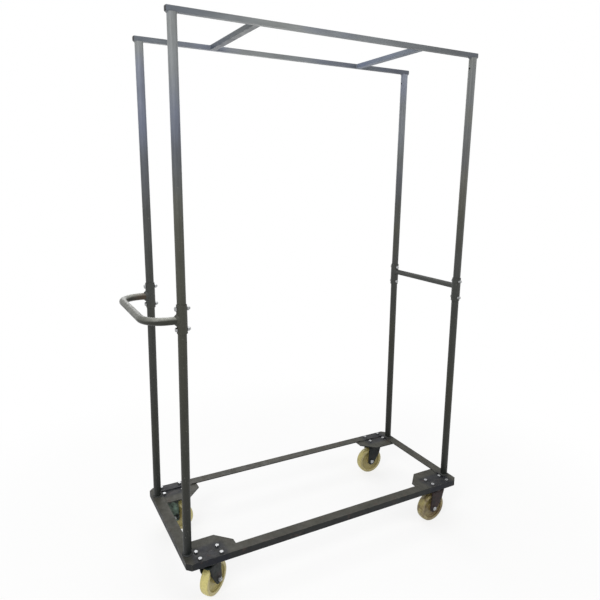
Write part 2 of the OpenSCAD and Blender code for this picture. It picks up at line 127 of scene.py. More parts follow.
def linear(hex_colour: str) -> Colour:
    """Turns an sRGB hex colour into linear light.

    Args:
        hex_colour: Colour such as "#4a4b45".

    Returns:
        Linear red, green, blue and an alpha of 1.
    """
    srgb = np.array([int(hex_colour[i:i + 2], 16) for i in (1, 3, 5)]) / 255.0
    light = np.where(srgb <= 0.04045, srgb / 12.92, ((srgb + 0.055) / 1.055) ** 2.4)
    return (*light.tolist(), 1.0)


@dataclass(frozen=True)
class Span:
    """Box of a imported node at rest."""

    low: Array
    high: Array

    @classmethod
    def of(cls, node: str) -> Span:
        """Reads the box of a node by its name."""
        low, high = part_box(node)
        return cls(np.array(low), np.array(high))

    @property
    def middle(self) -> Array:
        """Middle of the box."""
        return (self.low + self.high) / 2

    @property
    def size(self) -> Array:
        """Lengths of the box along X, Y and Z."""
        return self.high - self.low


@dataclass
class Shape:
    """Surface of a new piece: its points, its quads and the loops that close its ends."""

    points: Array
    quads: npt.NDArray[np.int64]
    caps: list[npt.NDArray[np.int64]] = field(default_factory=list)

    def __add__(self, other: Shape) -> Shape:
        """Puts two shapes into one mesh, side by side.

        Args:
            other: The second shape.

        Returns:
            Both.
        """
        start = len(self.points)
        return Shape(
            np.vstack([self.points, other.points]),
            np.vstack([self.quads, other.quads + start]),
            self.caps + [cap + start for cap in other.caps],
        )

    def placed(self, turn: Array, shift: Array) -> Shape:
        """Turns the shape by a 3 by 3 matrix, then shifts it."""
        return Shape(self.points @ turn.T + shift, self.quads, self.caps).outward()

    def outward(self) -> Shape:
        """Points the faces of a closed shape outwards.

        The signed volume is the sum, over the faces cut into triangles, of a . (b x c) / 6.
        Where it is negative, every face is turned round.

        Returns:
            The shape with its faces outwards.
        """
        fans = [self.quads[:, [0, 1, 2]], self.quads[:, [0, 2, 3]]]
        for cap in self.caps:
            fans.append(np.stack([np.full(len(cap) - 2, cap[0]), cap[1:-1], cap[2:]], axis=1))
        a, b, c = np.moveaxis(self.points[np.vstack(fans)], 1, 0)
        if np.einsum("ij,ij->", a, np.cross(b, c)) < 0:
            return Shape(self.points, self.quads[:, ::-1], [cap[::-1] for cap in self.caps])
        return self


def joined(shapes: Iterable[Shape]) -> Shape:
    """Puts shapes into one mesh, side by side."""
    first, *others = shapes
    return sum(others, first)


def grid(points: Array, wrap_along: bool, wrap_across: bool = True) -> Shape:
    """Makes quads from a grid of points.

    Args:
        points: Points of shape (along, across, 3).
        wrap_along: Whether the last row joins the first.
        wrap_across: Whether the last column joins the first. The end rows of an open tube
            are closed with one face each.

    Returns:
        The shape.
    """
    rows, columns = points.shape[:2]
    index = np.arange(rows * columns).reshape(rows, columns)
    caps = [] if wrap_along or not wrap_across else [index[0][::-1], index[-1]]
    if wrap_along:
        index = np.vstack([index, index[:1]])
    if wrap_across:
        index = np.hstack([index, index[:, :1]])
    corners = [index[:-1, :-1], index[1:, :-1], index[1:, 1:], index[:-1, 1:]]
    return Shape(points.reshape(-1, 3), np.stack(corners, axis=-1).reshape(-1, 4), caps)


def turns(count: int) -> Array:
    """Even angles over one full turn, the last one short of the first."""
    return np.linspace(0.0, FULL_TURN, count, endpoint=False)


def rounded(corners: Array, radii: Array, steps: int = 6) -> Array:
    """Rounds the corners of a closed outline.

    Each corner p, with unit ways a and b to its neighbours, becomes the quadratic curve
    (1 - t)^2 (p + r a) + 2 t (1 - t) p + t^2 (p + r b), with t from 0 to 1.

    Args:
        corners: Points of the outline, of shape (n, 2).
        radii: Distance from each corner at which the rounding starts.
        steps: Points on each rounded corner.

    Returns:
        Points of the rounded outline.
    """
    before = np.roll(corners, 1, axis=0) - corners
    after = np.roll(corners, -1, axis=0) - corners
    before /= np.linalg.norm(before, axis=1, keepdims=True)
    after /= np.linalg.norm(after, axis=1, keepdims=True)
    t = np.linspace(0.0, 1.0, steps)[None, :, None]
    reach = radii[:, None, None]
    start = corners[:, None] + reach * before[:, None]
    end = corners[:, None] + reach * after[:, None]
    curve = (1 - t) ** 2 * start + 2 * t * (1 - t) * corners[:, None] + t ** 2 * end
    return curve.reshape(-1, 2)


def lathe(outline: Array, count: int) -> Shape:
    """Turns a closed outline about the Y axis: (r, y) goes to (r cos a, y, r sin a).

    Args:
        outline: Points (radius, place along the axis), in order round the outline.
        count: Steps round the axis.

    Returns:
        The closed shape.
    """
    angle = turns(count)[:, None]
    radius, along = outline[None, :, 0], outline[None, :, 1]
    points = np.broadcast_arrays(radius * np.cos(angle), along, radius * np.sin(angle))
    return grid(np.stack(points, axis=-1), wrap_along=True).outward()


def make_piece(name: str, shape: Shape, coat: Material, body: str, slot: Slot) -> bpy.types.Object:
    """Makes an object from a shape, with its place in its mesh, and hangs it on a body.

    Args:
        name: Name of the piece.
        shape: Its surface, in the trolley's own frame.
        coat: Its material.
        body: Body that carries it.
        slot: Material slot that its finish belongs to. It is not used.

    Returns:
        The object.
    """
    mesh = bpy.data.meshes.new(name)
    faces = shape.quads.tolist() + [cap.tolist() for cap in shape.caps]
    mesh.from_pydata(shape.points.tolist(), [], faces)
    mesh.shade_smooth()
    mesh.set_sharp_from_angle(angle=SHARP_ANGLE)
    mesh.materials.append(coat)
    piece = bpy.data.objects.new(name, mesh)
    bpy.context.scene.collection.objects.link(piece)
    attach(piece, body)
    LOG.info("%s: %d faces on %s", name, len(mesh.polygons), body)
    return piece


def dress_nodes(nodes: list[str], coat: Material) -> None:
    """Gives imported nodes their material.

    Args:
        nodes: Names of the nodes.
        coat: The material.
    """
    for name in nodes:
        mesh = bpy.data.objects[name].data
        mesh.materials.clear()
        mesh.materials.append(coat)
    LOG.info("%s: %d nodes", coat.name, len(nodes))


class Nodes:
    """Node tree of a material or of the world."""

    def __init__(self, owner: Material | bpy.types.World) -> None:
        """Starts with an empty tree.

        Args:
            owner: What the tree belongs to.
        """
        owner.use_nodes = True
        self.tree = owner.node_tree
        self.tree.nodes.clear()

    def add(
        self,
        kind: str,
        inputs: dict[str | int, Any] | None = None,
        out: str | int = 0,
        stops: Stops = (),
        **settings: Any,
    ) -> Socket:
        """Adds a node with its settings and links.

        Args:
            kind: Type of the node.
            inputs: Values of its inputs by name or number. A socket is linked.
            out: Output to return, by name or number.
            stops: Places and hex colours, where the node holds a colour ramp.
            **settings: Properties of the node.

        Returns:
            The output.
        """
        node = self.tree.nodes.new(kind)
        for name, value in settings.items():
            setattr(node, name, value)
        for key, value in (inputs or {}).items():
            if isinstance(value, Socket):
                self.tree.links.new(value, node.inputs[key])
            else:
                node.inputs[key].default_value = value
        for number, (place, colour) in enumerate(stops):
            elements = node.color_ramp.elements
            element = elements[number] if number < 2 else elements.new(place)
            element.position, element.color = place, linear(colour)
        return node.outputs[out] if len(node.outputs) else node.inputs[0]

    def seen(self) -> Socket:
        """Tells what is seen from what lights.

        Returns:
            1 for what the camera sees, straight or in a gloss, and 0 for light on things.
        """
        kinds = ("Camera", "Glossy", "Transmission")
        rays = [self.add("ShaderNodeLightPath", out=f"Is {kind} Ray") for kind in kinds]
        pair = self.add("ShaderNodeMath", {0: rays[0], 1: rays[1]}, operation="MAXIMUM")
        return self.add("ShaderNodeMath", {0: pair, 1: rays[2]}, operation="MAXIMUM")


@dataclass(frozen=True)
class Mottle:
    """Cloudy pattern drawn from noise, with patches of a size in millimetres.

    It runs from low, where the noise is at the window's start, to high, where it is at the
    window's end. A small stretch draws it out along its axis.
    """

    size_mm: float
    low: float = 0.0
    high: float = 1.0
    window: Pair = (0.3, 0.7)
    stretch: Triple = (1.0, 1.0, 1.0)


@dataclass(frozen=True)
class Wear:
    """Wear on sharp edges.

    The worn band is where a normal rounded over the radius turns from the true one. It starts
    at the first cosine of that turn and is full at the second, and gaps of a size break it up.
    """

    radius_mm: float
    gap_mm: float
    cosines: Pair = (0.985, 0.86)
    window: Pair = (0.42, 0.6)


@dataclass(frozen=True)
class Skin:
    """How a finish takes the light: its roughness, its grain in relief and its soft edges.

    The grain is drawn coarser than the real one, so that it shows.
    """

    rough: Mottle
    grain_mm: float
    depth_mm: float
    edge_mm: float
    metallic: float = 0.0
    specular: float | None = None
    ior: float | None = None


class Coat(Nodes):
    """Node tree of one material, with the place that its patterns read."""

    edge_samples: int = 4
    noise_detail: float = 4.0

    def __init__(self, name: str) -> None:
        """Starts an empty material that reads Object coordinates.

        Args:
            name: Name of the material.
        """
        self.material = bpy.data.materials.new(name)
        super().__init__(self.material)
        self.place = self.add("ShaderNodeTexCoord", out="Object")

    def along(self, axis: str, start: float, end: float, values: Pair = (0.0, 1.0)) -> Socket:
        """Value that changes evenly from one place to another along an axis.

        Args:
            axis: "X", "Y" or "Z".
            start: Place of the first value.
            end: Place of the second value.
            values: The two values, which hold beyond their places.

        Returns:
            The value.
        """
        place = self.add("ShaderNodeSeparateXYZ", {"Vector": self.place}, out=axis)
        ends = {"From Min": start, "From Max": end, "To Min": values[0], "To Max": values[1]}
        return self.add("ShaderNodeMapRange", {"Value": place, **ends})

    def mottle(self, pattern: Mottle, place: Socket | None = None) -> Socket:
        """Draws a cloudy pattern.

        Args:
            pattern: The pattern.
            place: Coordinates, or None for the material's own.

        Returns:
            The value.
        """
        inputs = {"Vector": place or self.place, "Scale": pattern.stretch}
        mapped = self.add("ShaderNodeMapping", inputs)
        scale = 1 / (pattern.size_mm * MM)
        inputs = {"Vector": mapped, "Scale": scale, "Detail": self.noise_detail}
        noise = self.add("ShaderNodeTexNoise", inputs)
        ends = {"From Min": pattern.window[0], "From Max": pattern.window[1]}
        ends |= {"To Min": pattern.low, "To Max": pattern.high}
        return self.add("ShaderNodeMapRange", {"Value": noise, **ends})

    def worn_edges(self, wear: Wear) -> Socket:
        """Draws the wear on sharp edges.

        Args:
            wear: The wear.

        Returns:
            Wear from 0 to 1.
        """
        radius = wear.radius_mm * MM
        soft = self.add("ShaderNodeBevel", {"Radius": radius}, samples=self.edge_samples)
        true = self.add("ShaderNodeNewGeometry", out="Normal")
        pair = {0: soft, 1: true}
        match = self.add("ShaderNodeVectorMath", pair, out="Value", operation="DOT_PRODUCT")
        ends = {"Value": match, "From Min": wear.cosines[0], "From Max": wear.cosines[1]}
        turned = self.add("ShaderNodeMapRange", ends)
        broken = self.mottle(Mottle(wear.gap_mm, window=wear.window))
        return self.add("ShaderNodeMath", {0: turned, 1: broken}, operation="MULTIPLY")

    def layered(self, below: Socket | str, above: Socket | str, *shares: Socket) -> Socket:
        """Lays one colour over another, by the product of some shares.

        Args:
            below: Colour below, as a socket or a hex colour.
            above: Colour above.
            *shares: How much of it shows.

        Returns:
            The colour.
        """
        share = shares[0]
        for other in shares[1:]:
            share = self.add("ShaderNodeMath", {0: share, 1: other}, operation="MULTIPLY")
        colours = [linear(c) if isinstance(c, str) else c for c in (below, above)]
        inputs = {0: share, 6: colours[0], 7: colours[1]}
        return self.add("ShaderNodeMix", inputs, out=2, data_type="RGBA")

    def shaded(self, colour: Socket, *shades: Socket) -> Socket:
        """Darkens and brightens a colour.

        Args:
            colour: The colour.
            *shades: Values or colours to multiply it by.

        Returns:
            The product.
        """
        for shade in shades:
            inputs = {0: 1.0, 6: colour, 7: shade}
            settings = {"data_type": "RGBA", "blend_type": "MULTIPLY"}
            colour = self.add("ShaderNodeMix", inputs, out=2, **settings)
        return colour

    def close(self, colour: Socket, skin: Skin, place: Socket | None = None) -> Material:
        """Ends the material with its shader.

        Args:
            colour: Base colour.
            skin: How the finish takes the light.
            place: Coordinates of the skin's patterns, or None for the material's own.

        Returns:
            The material.
        """
        roughness = self.mottle(skin.rough, place)
        height = self.mottle(Mottle(skin.grain_mm), place)
        edge = self.add("ShaderNodeBevel", {"Radius": skin.edge_mm * MM}, samples=self.edge_samples)
        relief = {"Height": height, "Distance": skin.depth_mm * MM, "Strength": 1.0, "Normal": edge}
        normal = self.add("ShaderNodeBump", relief, out="Normal")
        inputs = {"Base Color": colour, "Roughness": roughness, "Normal": normal}
        constants = {"Metallic": skin.metallic, "Specular IOR Level": skin.specular}
        constants["IOR"] = skin.ior
        inputs |= {name: value for name, value in constants.items() if value is not None}
        shader = self.add("ShaderNodeBsdfPrincipled", inputs)
        self.add("ShaderNodeOutputMaterial", {"Surface": shader})
        return self.material


@dataclass(frozen=True)
class FramePaint:
    """Charcoal enamel, brushed on round and square steel tube.

    It gives the eye a satin skin with faint streaks along the tube and small pale scuffs. Its
    colour
    runs with height: painted shade darkens it near the floor and a painted blue grey sheen pales it
    towards the top. A tint laid over the trolley's length is a painted reflection that makes the
    sheen uneven.
    """

    name: str
    stretch: Triple
    floor_z: float = 0.17
    top_z: float = 1.90
    length: Pair = (-0.54, 0.635)
    # Painted shade: colours over shares of the height, darkest near the floor.
    shades: Stops = (
        (0.00, "#1c1f1e"),
        (0.18, "#2a2b26"),
        (0.44, "#343530"),
        (0.54, "#3d3e39"),
        (0.65, "#464743"),
    )
    # Painted sheen: paler blue grey colours towards the top of the tubes.
    top: Stops = (
        (0.77, "#5a5d60"),
        (0.83, "#6b707c"),
        (0.97, "#7f838a"),
        (0.985, "#7f838a"),
        (0.99, "#6b6f75"),
    )
    # Painted reflection: tints over shares of the trolley's length.
    tone: Stops = ()
    cool: str = "#f4f6ff"
    warm: str = "#fffdf1"
    scuff: str = "#8a8a83"
    steel: str = "#85847e"
    streaks: Mottle = Mottle(5.0, 0.90, 1.10)
    patches: Mottle = Mottle(90.0, 0.88, 1.12)
    drift: Mottle = Mottle(320.0, window=(0.42, 0.58))
    scuffs: Mottle = Mottle(7.0, 0.0, 0.30, window=(0.66, 0.74))
    wear: Wear = Wear(1.0, 9.0)
    skin: Skin = Skin(
        Mottle(45.0, 0.38, 0.54), grain_mm=1.8, depth_mm=0.03, edge_mm=0.8, specular=0.3
    )

    def material(self) -> Material:
        """Builds the material.

        Returns:
            The material.
        """
        coat = Coat(self.name)
        # The colour by height is painted light: painted shade low down, a painted sheen at the top.
        share = coat.along("Z", self.floor_z, self.top_z)
        colour = coat.add("ShaderNodeValToRGB", {"Fac": share}, stops=self.shades + self.top)
        # A painted reflection laid along the trolley's length.
        if self.tone:
            share = coat.along("X", *self.length)
            tone = coat.add("ShaderNodeValToRGB", {"Fac": share}, stops=self.tone)
            colour = coat.shaded(colour, tone)
        streaks = coat.mottle(replace(self.streaks, stretch=self.stretch))
        drift = coat.layered(self.cool, self.warm, coat.mottle(self.drift))
        colour = coat.shaded(colour, streaks, coat.mottle(self.patches), drift)
        colour = coat.layered(colour, self.scuff, coat.mottle(self.scuffs))
        colour = coat.layered(colour, self.steel, coat.worn_edges(self.wear))
        return coat.close(colour, self.skin)


@dataclass(frozen=True)
class DeckPaint:
    """Dark enamel on hot rolled angle iron and plate.

    It gives the eye nearly black upright faces, darkened as painted shade, paler top faces with
    brown dust, a blue black painted reflection round the castor bolts, and bare steel and a little
    rust along the edges.
    """

    middle_x: float
    castor: Pair
    name: str = "dark_enamel_on_angle_iron"
    # Painted shade: the darker colour of the upright faces.
    side: str = "#1d1f1f"
    top: str = "#31312b"
    dust: str = "#4d4b43"
    # Blue black painted reflection on the pads round the castor bolts.
    rub: str = "#11141d"
    rust: str = "#463730"
    steel: str = "#6a6862"
    facing: Pair = (0.4, 0.9)
    pad: Pair = (0.058, 0.042)
    pad_fade: Pair = (0.012, 0.004)
    dusting: Mottle = Mottle(55.0, 0.0, 0.55)
    rubbing: Mottle = Mottle(24.0, 0.55, 0.95)
    patches: Mottle = Mottle(16.0, 0.84, 1.14)
    rusting: Mottle = Mottle(30.0, 0.0, 0.55, window=(0.60, 0.74))
    wear: Wear = Wear(1.4, 12.0)
    skin: Skin = Skin(
        Mottle(28.0, 0.46, 0.68), grain_mm=2.4, depth_mm=0.08, edge_mm=1.0, specular=0.24
    )

    def pad_share(self, coat: Coat) -> Socket:
        """Share of the pad with the painted reflection, found with X and Y folded onto one corner.

        Args:
            coat: The material's tree.

        Returns:
            1 on the pads round the castor bolts, 0 elsewhere.
        """
        shares = []
        for axis, centre, place, reach in (
            ("X", self.middle_x, self.castor[0], self.pad[0]),
            ("Y", 0.0, self.castor[1], self.pad[1]),
        ):
            away = coat.add("ShaderNodeSeparateXYZ", {"Vector": coat.place}, out=axis)
            for origin in (centre, place):
                away = coat.add("ShaderNodeMath", {0: away, 1: origin}, operation="SUBTRACT")
                away = coat.add("ShaderNodeMath", {0: away}, operation="ABSOLUTE")
            outer, inner = reach + self.pad_fade[0], reach - self.pad_fade[1]
            ends = {"Value": away, "From Min": outer, "From Max": inner}
            shares.append(coat.add("ShaderNodeMapRange", ends))
        return coat.add("ShaderNodeMath", {0: shares[0], 1: shares[1]}, operation="MULTIPLY")

    def material(self) -> Material:
        """Builds the material.

        Returns:
            The material.
        """
        coat = Coat(self.name)
        normal = coat.add("ShaderNodeNewGeometry", out="Normal")
        facing = coat.add("ShaderNodeSeparateXYZ", {"Vector": normal}, out="Z")
        ends = {"Value": facing, "From Min": self.facing[0], "From Max": self.facing[1]}
        upward = coat.add("ShaderNodeMapRange", ends)
        # Upright faces darker than top faces: painted shade.
        colour = coat.layered(self.side, self.top, upward)
        colour = coat.layered(colour, self.dust, upward, coat.mottle(self.dusting))
        # A blue black painted reflection on the pads round the castor bolts.
        colour = coat.layered(colour, self.rub, self.pad_share(coat), coat.mottle(self.rubbing))
        colour = coat.shaded(colour, coat.mottle(self.patches))
        colour = coat.layered(colour, self.rust, coat.mottle(self.rusting))
        colour = coat.layered(colour, self.steel, coat.worn_edges(self.wear))
        return coat.close(colour, self.skin)


@dataclass(frozen=True)
class GripPaint:
    """Handle tube, enamel worn through to bright steel by hands.

    It gives the eye silver on the grip and on the tops of the legs, partly bare steel worn by hands
    and partly a painted highlight on the upward faces, dark paint left on the underside, and brown
    rust where the rear leg meets its sleeve.
    """

    leg_x: float
    grip_x: float
    rear_y: float
    name: str = "worn_enamel_on_handle_tube"
    paint: str = "#2a2b25"
    # Silver of bare steel and painted highlight.
    silver: str = "#a0a199"
    rust: str = "#5c4434"
    tube_radius: float = 0.012
    rust_start: float = 0.045
    rust_share: float = 0.7
    held: float = 0.40
    facing: Pair = (0.3, 0.8)
    grip_share: float = 0.30
    wearing: Mottle = Mottle(14.0, 0.70, 1.0)
    rusting: Mottle = Mottle(12.0, 0.5, 1.0)
    patches: Mottle = Mottle(5.0, 0.90, 1.08)
    skin: Skin = Skin(
        Mottle(18.0, 0.32, 0.48), grain_mm=1.8, depth_mm=0.02, edge_mm=0.6, specular=0.28
    )

    def material(self) -> Material:
        """Builds the material.

        Returns:
            The material.
        """
        coat = Coat(self.name)
        normal = coat.add("ShaderNodeNewGeometry", out="Normal")
        facing = coat.add("ShaderNodeSeparateXYZ", {"Vector": normal}, out="Z")
        grip = ((self.leg_x + self.grip_x) / 2, self.grip_x + self.tube_radius)
        held = coat.along("X", *grip, values=(0.0, self.held))
        reach = coat.add("ShaderNodeMath", {0: facing, 1: held}, operation="ADD")
        ends = {"Value": reach, "From Min": self.facing[0], "From Max": self.facing[1]}
        top = coat.add("ShaderNodeMapRange", ends)
        dull = coat.along("X", *grip, values=(1.0, self.grip_share))
        near = coat.along("X", self.grip_x + self.rust_start, self.leg_x)
        rear = coat.along("Y", self.rust_share * self.rear_y, self.rear_y)
        # Silver on upward faces: bare steel worn by hands, and a painted highlight.
        colour = coat.layered(self.paint, self.silver, top, dull, coat.mottle(self.wearing))
        colour = coat.layered(colour, self.rust, near, rear, coat.mottle(self.rusting))
        colour = coat.shaded(colour, coat.mottle(self.patches))
        return coat.close(colour, self.skin)


@dataclass(frozen=True)
class Clouded:
    """Finish of one colour with small clouds of another."""

    name: str
    ground: str
    cloud: str
    clouds: Mottle
    skin: Skin

    def material(self) -> Material:
        """Builds the material.

        Returns:
            The material.
        """
        coat = Coat(self.name)
        colour = coat.layered(self.ground, self.cloud, coat.mottle(self.clouds))
        return coat.close(colour, self.skin)


# Zinc plate on steel bolts, nuts and pins gives the eye a pale metal with strong glints and a
# faint cloudy bloom.
ZINC_PLATE = Clouded(
    "bright_zinc_plate",
    "#b4b6b9",
    "#787873",
    Mottle(5.0, 0.0, 0.8),
    Skin(Mottle(3.0, 0.24, 0.44), grain_mm=1.0, depth_mm=0.03, edge_mm=0.4, metallic=1.0),
)
# Polyethylene, moulded for the rail end caps, gives the eye a soft black with a fine grain.
CAP_PLASTIC = Clouded(
    "black_moulded_polyethylene",
    "#17181b",
    "#26272a",
    Mottle(6.0),
    Skin(Mottle(3.0, 0.44, 0.6), grain_mm=0.8, depth_mm=0.05, edge_mm=0.6),
)


@dataclass(frozen=True)
class CastorSteel:
    """Pressed castor steel with a dark, oily finish.

    It gives the eye near black faces with greenish grease, reddish brown rust and rubbed edges.
    """

    name: str
    tint: str
    dark: str = "#131616"
    rust: str = "#2e2321"
    steel: str = "#605e5a"
    grease: Mottle = Mottle(22.0, 0.0, 0.9)
    rusting: Mottle = Mottle(34.0, 0.0, 0.7, window=(0.5, 0.68))
    patches: Mottle = Mottle(6.0, 0.86, 1.14)
    wear: Wear = Wear(1.0, 8.0)
    skin: Skin = Skin(
        Mottle(12.0, 0.38, 0.58), grain_mm=1.6, depth_mm=0.04, edge_mm=0.6, specular=0.18
    )

    def material(self) -> Material:
        """Builds the material.

        Returns:
            The material.
        """
        coat = Coat(self.name)
        colour = coat.layered(self.dark, self.tint, coat.mottle(self.grease))
        colour = coat.layered(colour, self.rust, coat.mottle(self.rusting))
        colour = coat.shaded(colour, coat.mottle(self.patches))
        colour = coat.layered(colour, self.steel, coat.worn_edges(self.wear))
        return coat.close(colour, self.skin)


@dataclass(frozen=True)
class WheelNylon:
    """Cast nylon, cream when new and yellowed with use.

    It gives the eye a waxy yellow tread, a browner soiled web and a paler ring near the rim.
    The pattern is worked out from the distance to the axle.
    """

    name: str
    centre: Triple
    swivel: float
    radius: float
    soil: float
    dirt: str = "#5a472d"
    rings: Stops = (
        (0.0, "#5a472d"),
        (0.42, "#ada265"),
        (0.74, "#ada265"),
        (0.80, "#bfb47e"),
        (0.93, "#bfb47e"),
        (0.97, "#d6cb80"),
    )
    grime_mm: float = 20.0
    least_grime: float = 0.45
    patches: Mottle = Mottle(7.0, 0.90, 1.08)
    specks: Mottle = Mottle(2.6, 0.0, 0.5, window=(0.66, 0.75))
    skin: Skin = Skin(Mottle(10.0, 0.32, 0.52), grain_mm=1.6, depth_mm=0.06, edge_mm=0.5, ior=1.53)

    def material(self) -> Material:
        """Builds the material.

        Returns:
            The material.
        """
        coat = Coat(self.name)
        turn = (0.0, 0.0, self.swivel)
        inputs = {"Vector": coat.place, "Location": self.centre, "Rotation": turn}
        local = coat.add("ShaderNodeMapping", inputs, vector_type="TEXTURE")
        level = {0: local, 1: (1.0, 0.0, 1.0)}
        flat = coat.add("ShaderNodeVectorMath", level, operation="MULTIPLY")
        reach = coat.add("ShaderNodeVectorMath", {0: flat}, out="Value", operation="LENGTH")
        share = coat.add("ShaderNodeMath", {0: reach, 1: self.radius}, operation="DIVIDE")
        colour = coat.add("ShaderNodeValToRGB", {"Fac": share}, stops=self.rings)
        grime = Mottle(self.grime_mm, self.least_grime * self.soil, self.soil)
        colour = coat.layered(colour, self.dirt, coat.mottle(grime, local))
        colour = coat.shaded(colour, coat.mottle(self.patches, local))
        colour = coat.layered(colour, self.dirt, coat.mottle(self.specks, local))
        return coat.close(colour, self.skin, local)


@dataclass(frozen=True)
class Weld:
    """Run of weld, by its leg and the ripples that the torch leaves."""

    leg: float = 0.0046
    ripple: float = 0.0006
    pitch: float = 0.0030
    bulge: float = 0.10
    sink: float = 0.0005
    corner_root: float = 0.0015
    seam_root: float = 0.0020
    wrap_share: float = 0.92
    slant: float = 0.4
    fade_end: float = 0.995
    across: int = 9
    per_ripple: int = 5
    least_points: int = 8

    def between(self, first: Array, second: Array, root: Array, closed: bool) -> Shape:
        """Fills the room between two lines on the metal and a root line inside it.

        Across the run, v goes from 0 on the first line to 1 on the second. The skin is the
        straight blend of the two, lifted away from the root by 4 v (1 - v) times the swell:
        bulge times the width, plus ripple times |sin| of the length run, so that the ripples
        lie as a row of crescents.

        Args:
            first: Line on the first face, of shape (along, 3).
            second: Line on the second face.
            root: Line inside the corner.
            closed: Whether the run ends where it starts.

        Returns:
            The closed bead.
        """
        middle = (first + second) / 2
        outward = middle - root
        outward /= np.linalg.norm(outward, axis=1, keepdims=True)
        steps = np.linalg.norm(np.diff(middle, axis=0, append=middle[:1]), axis=1)
        run = np.concatenate([[0.0], np.cumsum(steps[:-1])])
        length = steps.sum() if closed else run[-1]
        ripples = max(1, round(length / self.pitch))
        v = np.linspace(0.0, 1.0, self.across)
        crest = 4 * v * (1 - v)
        phase = math.pi * (ripples * run[:, None] / length + self.slant * crest[None])
        width = np.linalg.norm(second - first, axis=1)[:, None]
        swell = self.bulge * width + self.ripple * np.abs(np.sin(phase))
        straight = first[:, None] * (1 - v)[None, :, None] + second[:, None] * v[None, :, None]
        skin = straight + outward[:, None] * (swell * crest)[..., None]
        loop = np.concatenate([skin, root[:, None]], axis=1)
        return grid(loop, wrap_along=closed).outward()

    def samples(self, length: float) -> int:
        """Points along a run of that length."""
        return max(self.least_points, round(length / self.pitch) * self.per_ripple)

    def saddle(self, centre: Array, sleeve_radius: float, tube_radius: float, out: Array) -> Shape:
        """Weld round a tube that meets an upright sleeve.

        With a the angle round the tube, a point at a distance q from the tube's axis lies at
        s = q cos a to the side, q sin a up, and sqrt(R^2 - s^2) out from the sleeve's axis. To
        the side, q is held to a share of R, so that the weld stays on the sleeve.

        Args:
            centre: Place where the two axes meet.
            sleeve_radius: Outer radius R of the sleeve.
            tube_radius: Outer radius of the tube.
            out: Unit way of the tube, away from the sleeve.

        Returns:
            The bead.
        """
        angle = turns(self.samples(FULL_TURN * tube_radius))
        side = np.cross(UP, out)

        def line(reach: float, lift: float) -> Array:
            """Line round the tube, on the sleeve's wall or off it.

            Args:
                reach: Distance from the tube's axis.
                lift: Distance off the wall.

            Returns:
                Its points.
            """
            across = min(reach, self.wrap_share * sleeve_radius) * np.cos(angle)
            away = np.sqrt(sleeve_radius ** 2 - across ** 2) + lift
            level = centre + np.outer(away, out) + np.outer(across, side)
            return level + np.outer(reach * np.sin(angle), UP)

        first = line(tube_radius + self.leg, -self.sink)
        second = line(tube_radius - self.sink, self.leg)
        root = line(tube_radius - self.corner_root, -self.corner_root)
        return self.between(first, second, root, closed=True)

    def arc(self, centre: Array, radius: float, lift: float, start: float, sweep: float) -> Shape:
        """Weld between a round post and a flat face.

        Points lie on circles about the post's axis: radius plus leg on the face, radius at one
        leg along the post.

        Args:
            centre: Middle of the post's end, on the face.
            radius: Outer radius of the post.
            lift: 1 where the post stands up from the face, -1 where it hangs.
            start: First angle.
            sweep: Angle run through. A full turn is closed.

        Returns:
            The bead.
        """
        closed = sweep >= FULL_TURN
        count = self.samples(radius * sweep)
        angle = start + (turns(count) if closed else np.linspace(0.0, sweep, count))
        way = np.stack([np.cos(angle), np.sin(angle), np.zeros(count)], axis=1)
        first = centre + (radius - self.sink) * way + lift * self.leg * UP
        second = centre + (radius + self.leg) * way - lift * self.sink * UP
        root = centre + (radius - self.corner_root) * way - lift * self.corner_root * UP
        return self.between(first, second, root, closed)

    def line(
        self, start: Array, end: Array, first_way: Array, second_way: Array, root_way: Array
    ) -> Shape:
        """Straight weld whose ends fade out.

        With t from -1 to 1 along the run, the leg is its full length times sqrt(1 - t^8).

        Args:
            start: Start of the corner or seam.
            end: End of it.
            first_way: Unit way on the first face, away from the corner.
            second_way: Unit way on the second face.
            root_way: Unit way into the metal.

        Returns:
            The bead.
        """
        count = self.samples(float(np.linalg.norm(end - start)))
        t = np.linspace(-self.fade_end, self.fade_end, count)
        path = start + np.outer((t + 1) / 2, end - start)
        leg = (self.leg * np.sqrt(1 - t ** 8))[:, None]
        skin = path + self.sink * root_way
        root = path + self.seam_root * root_way
        return self.between(skin + leg * first_way, skin + leg * second_way, root, closed=False)


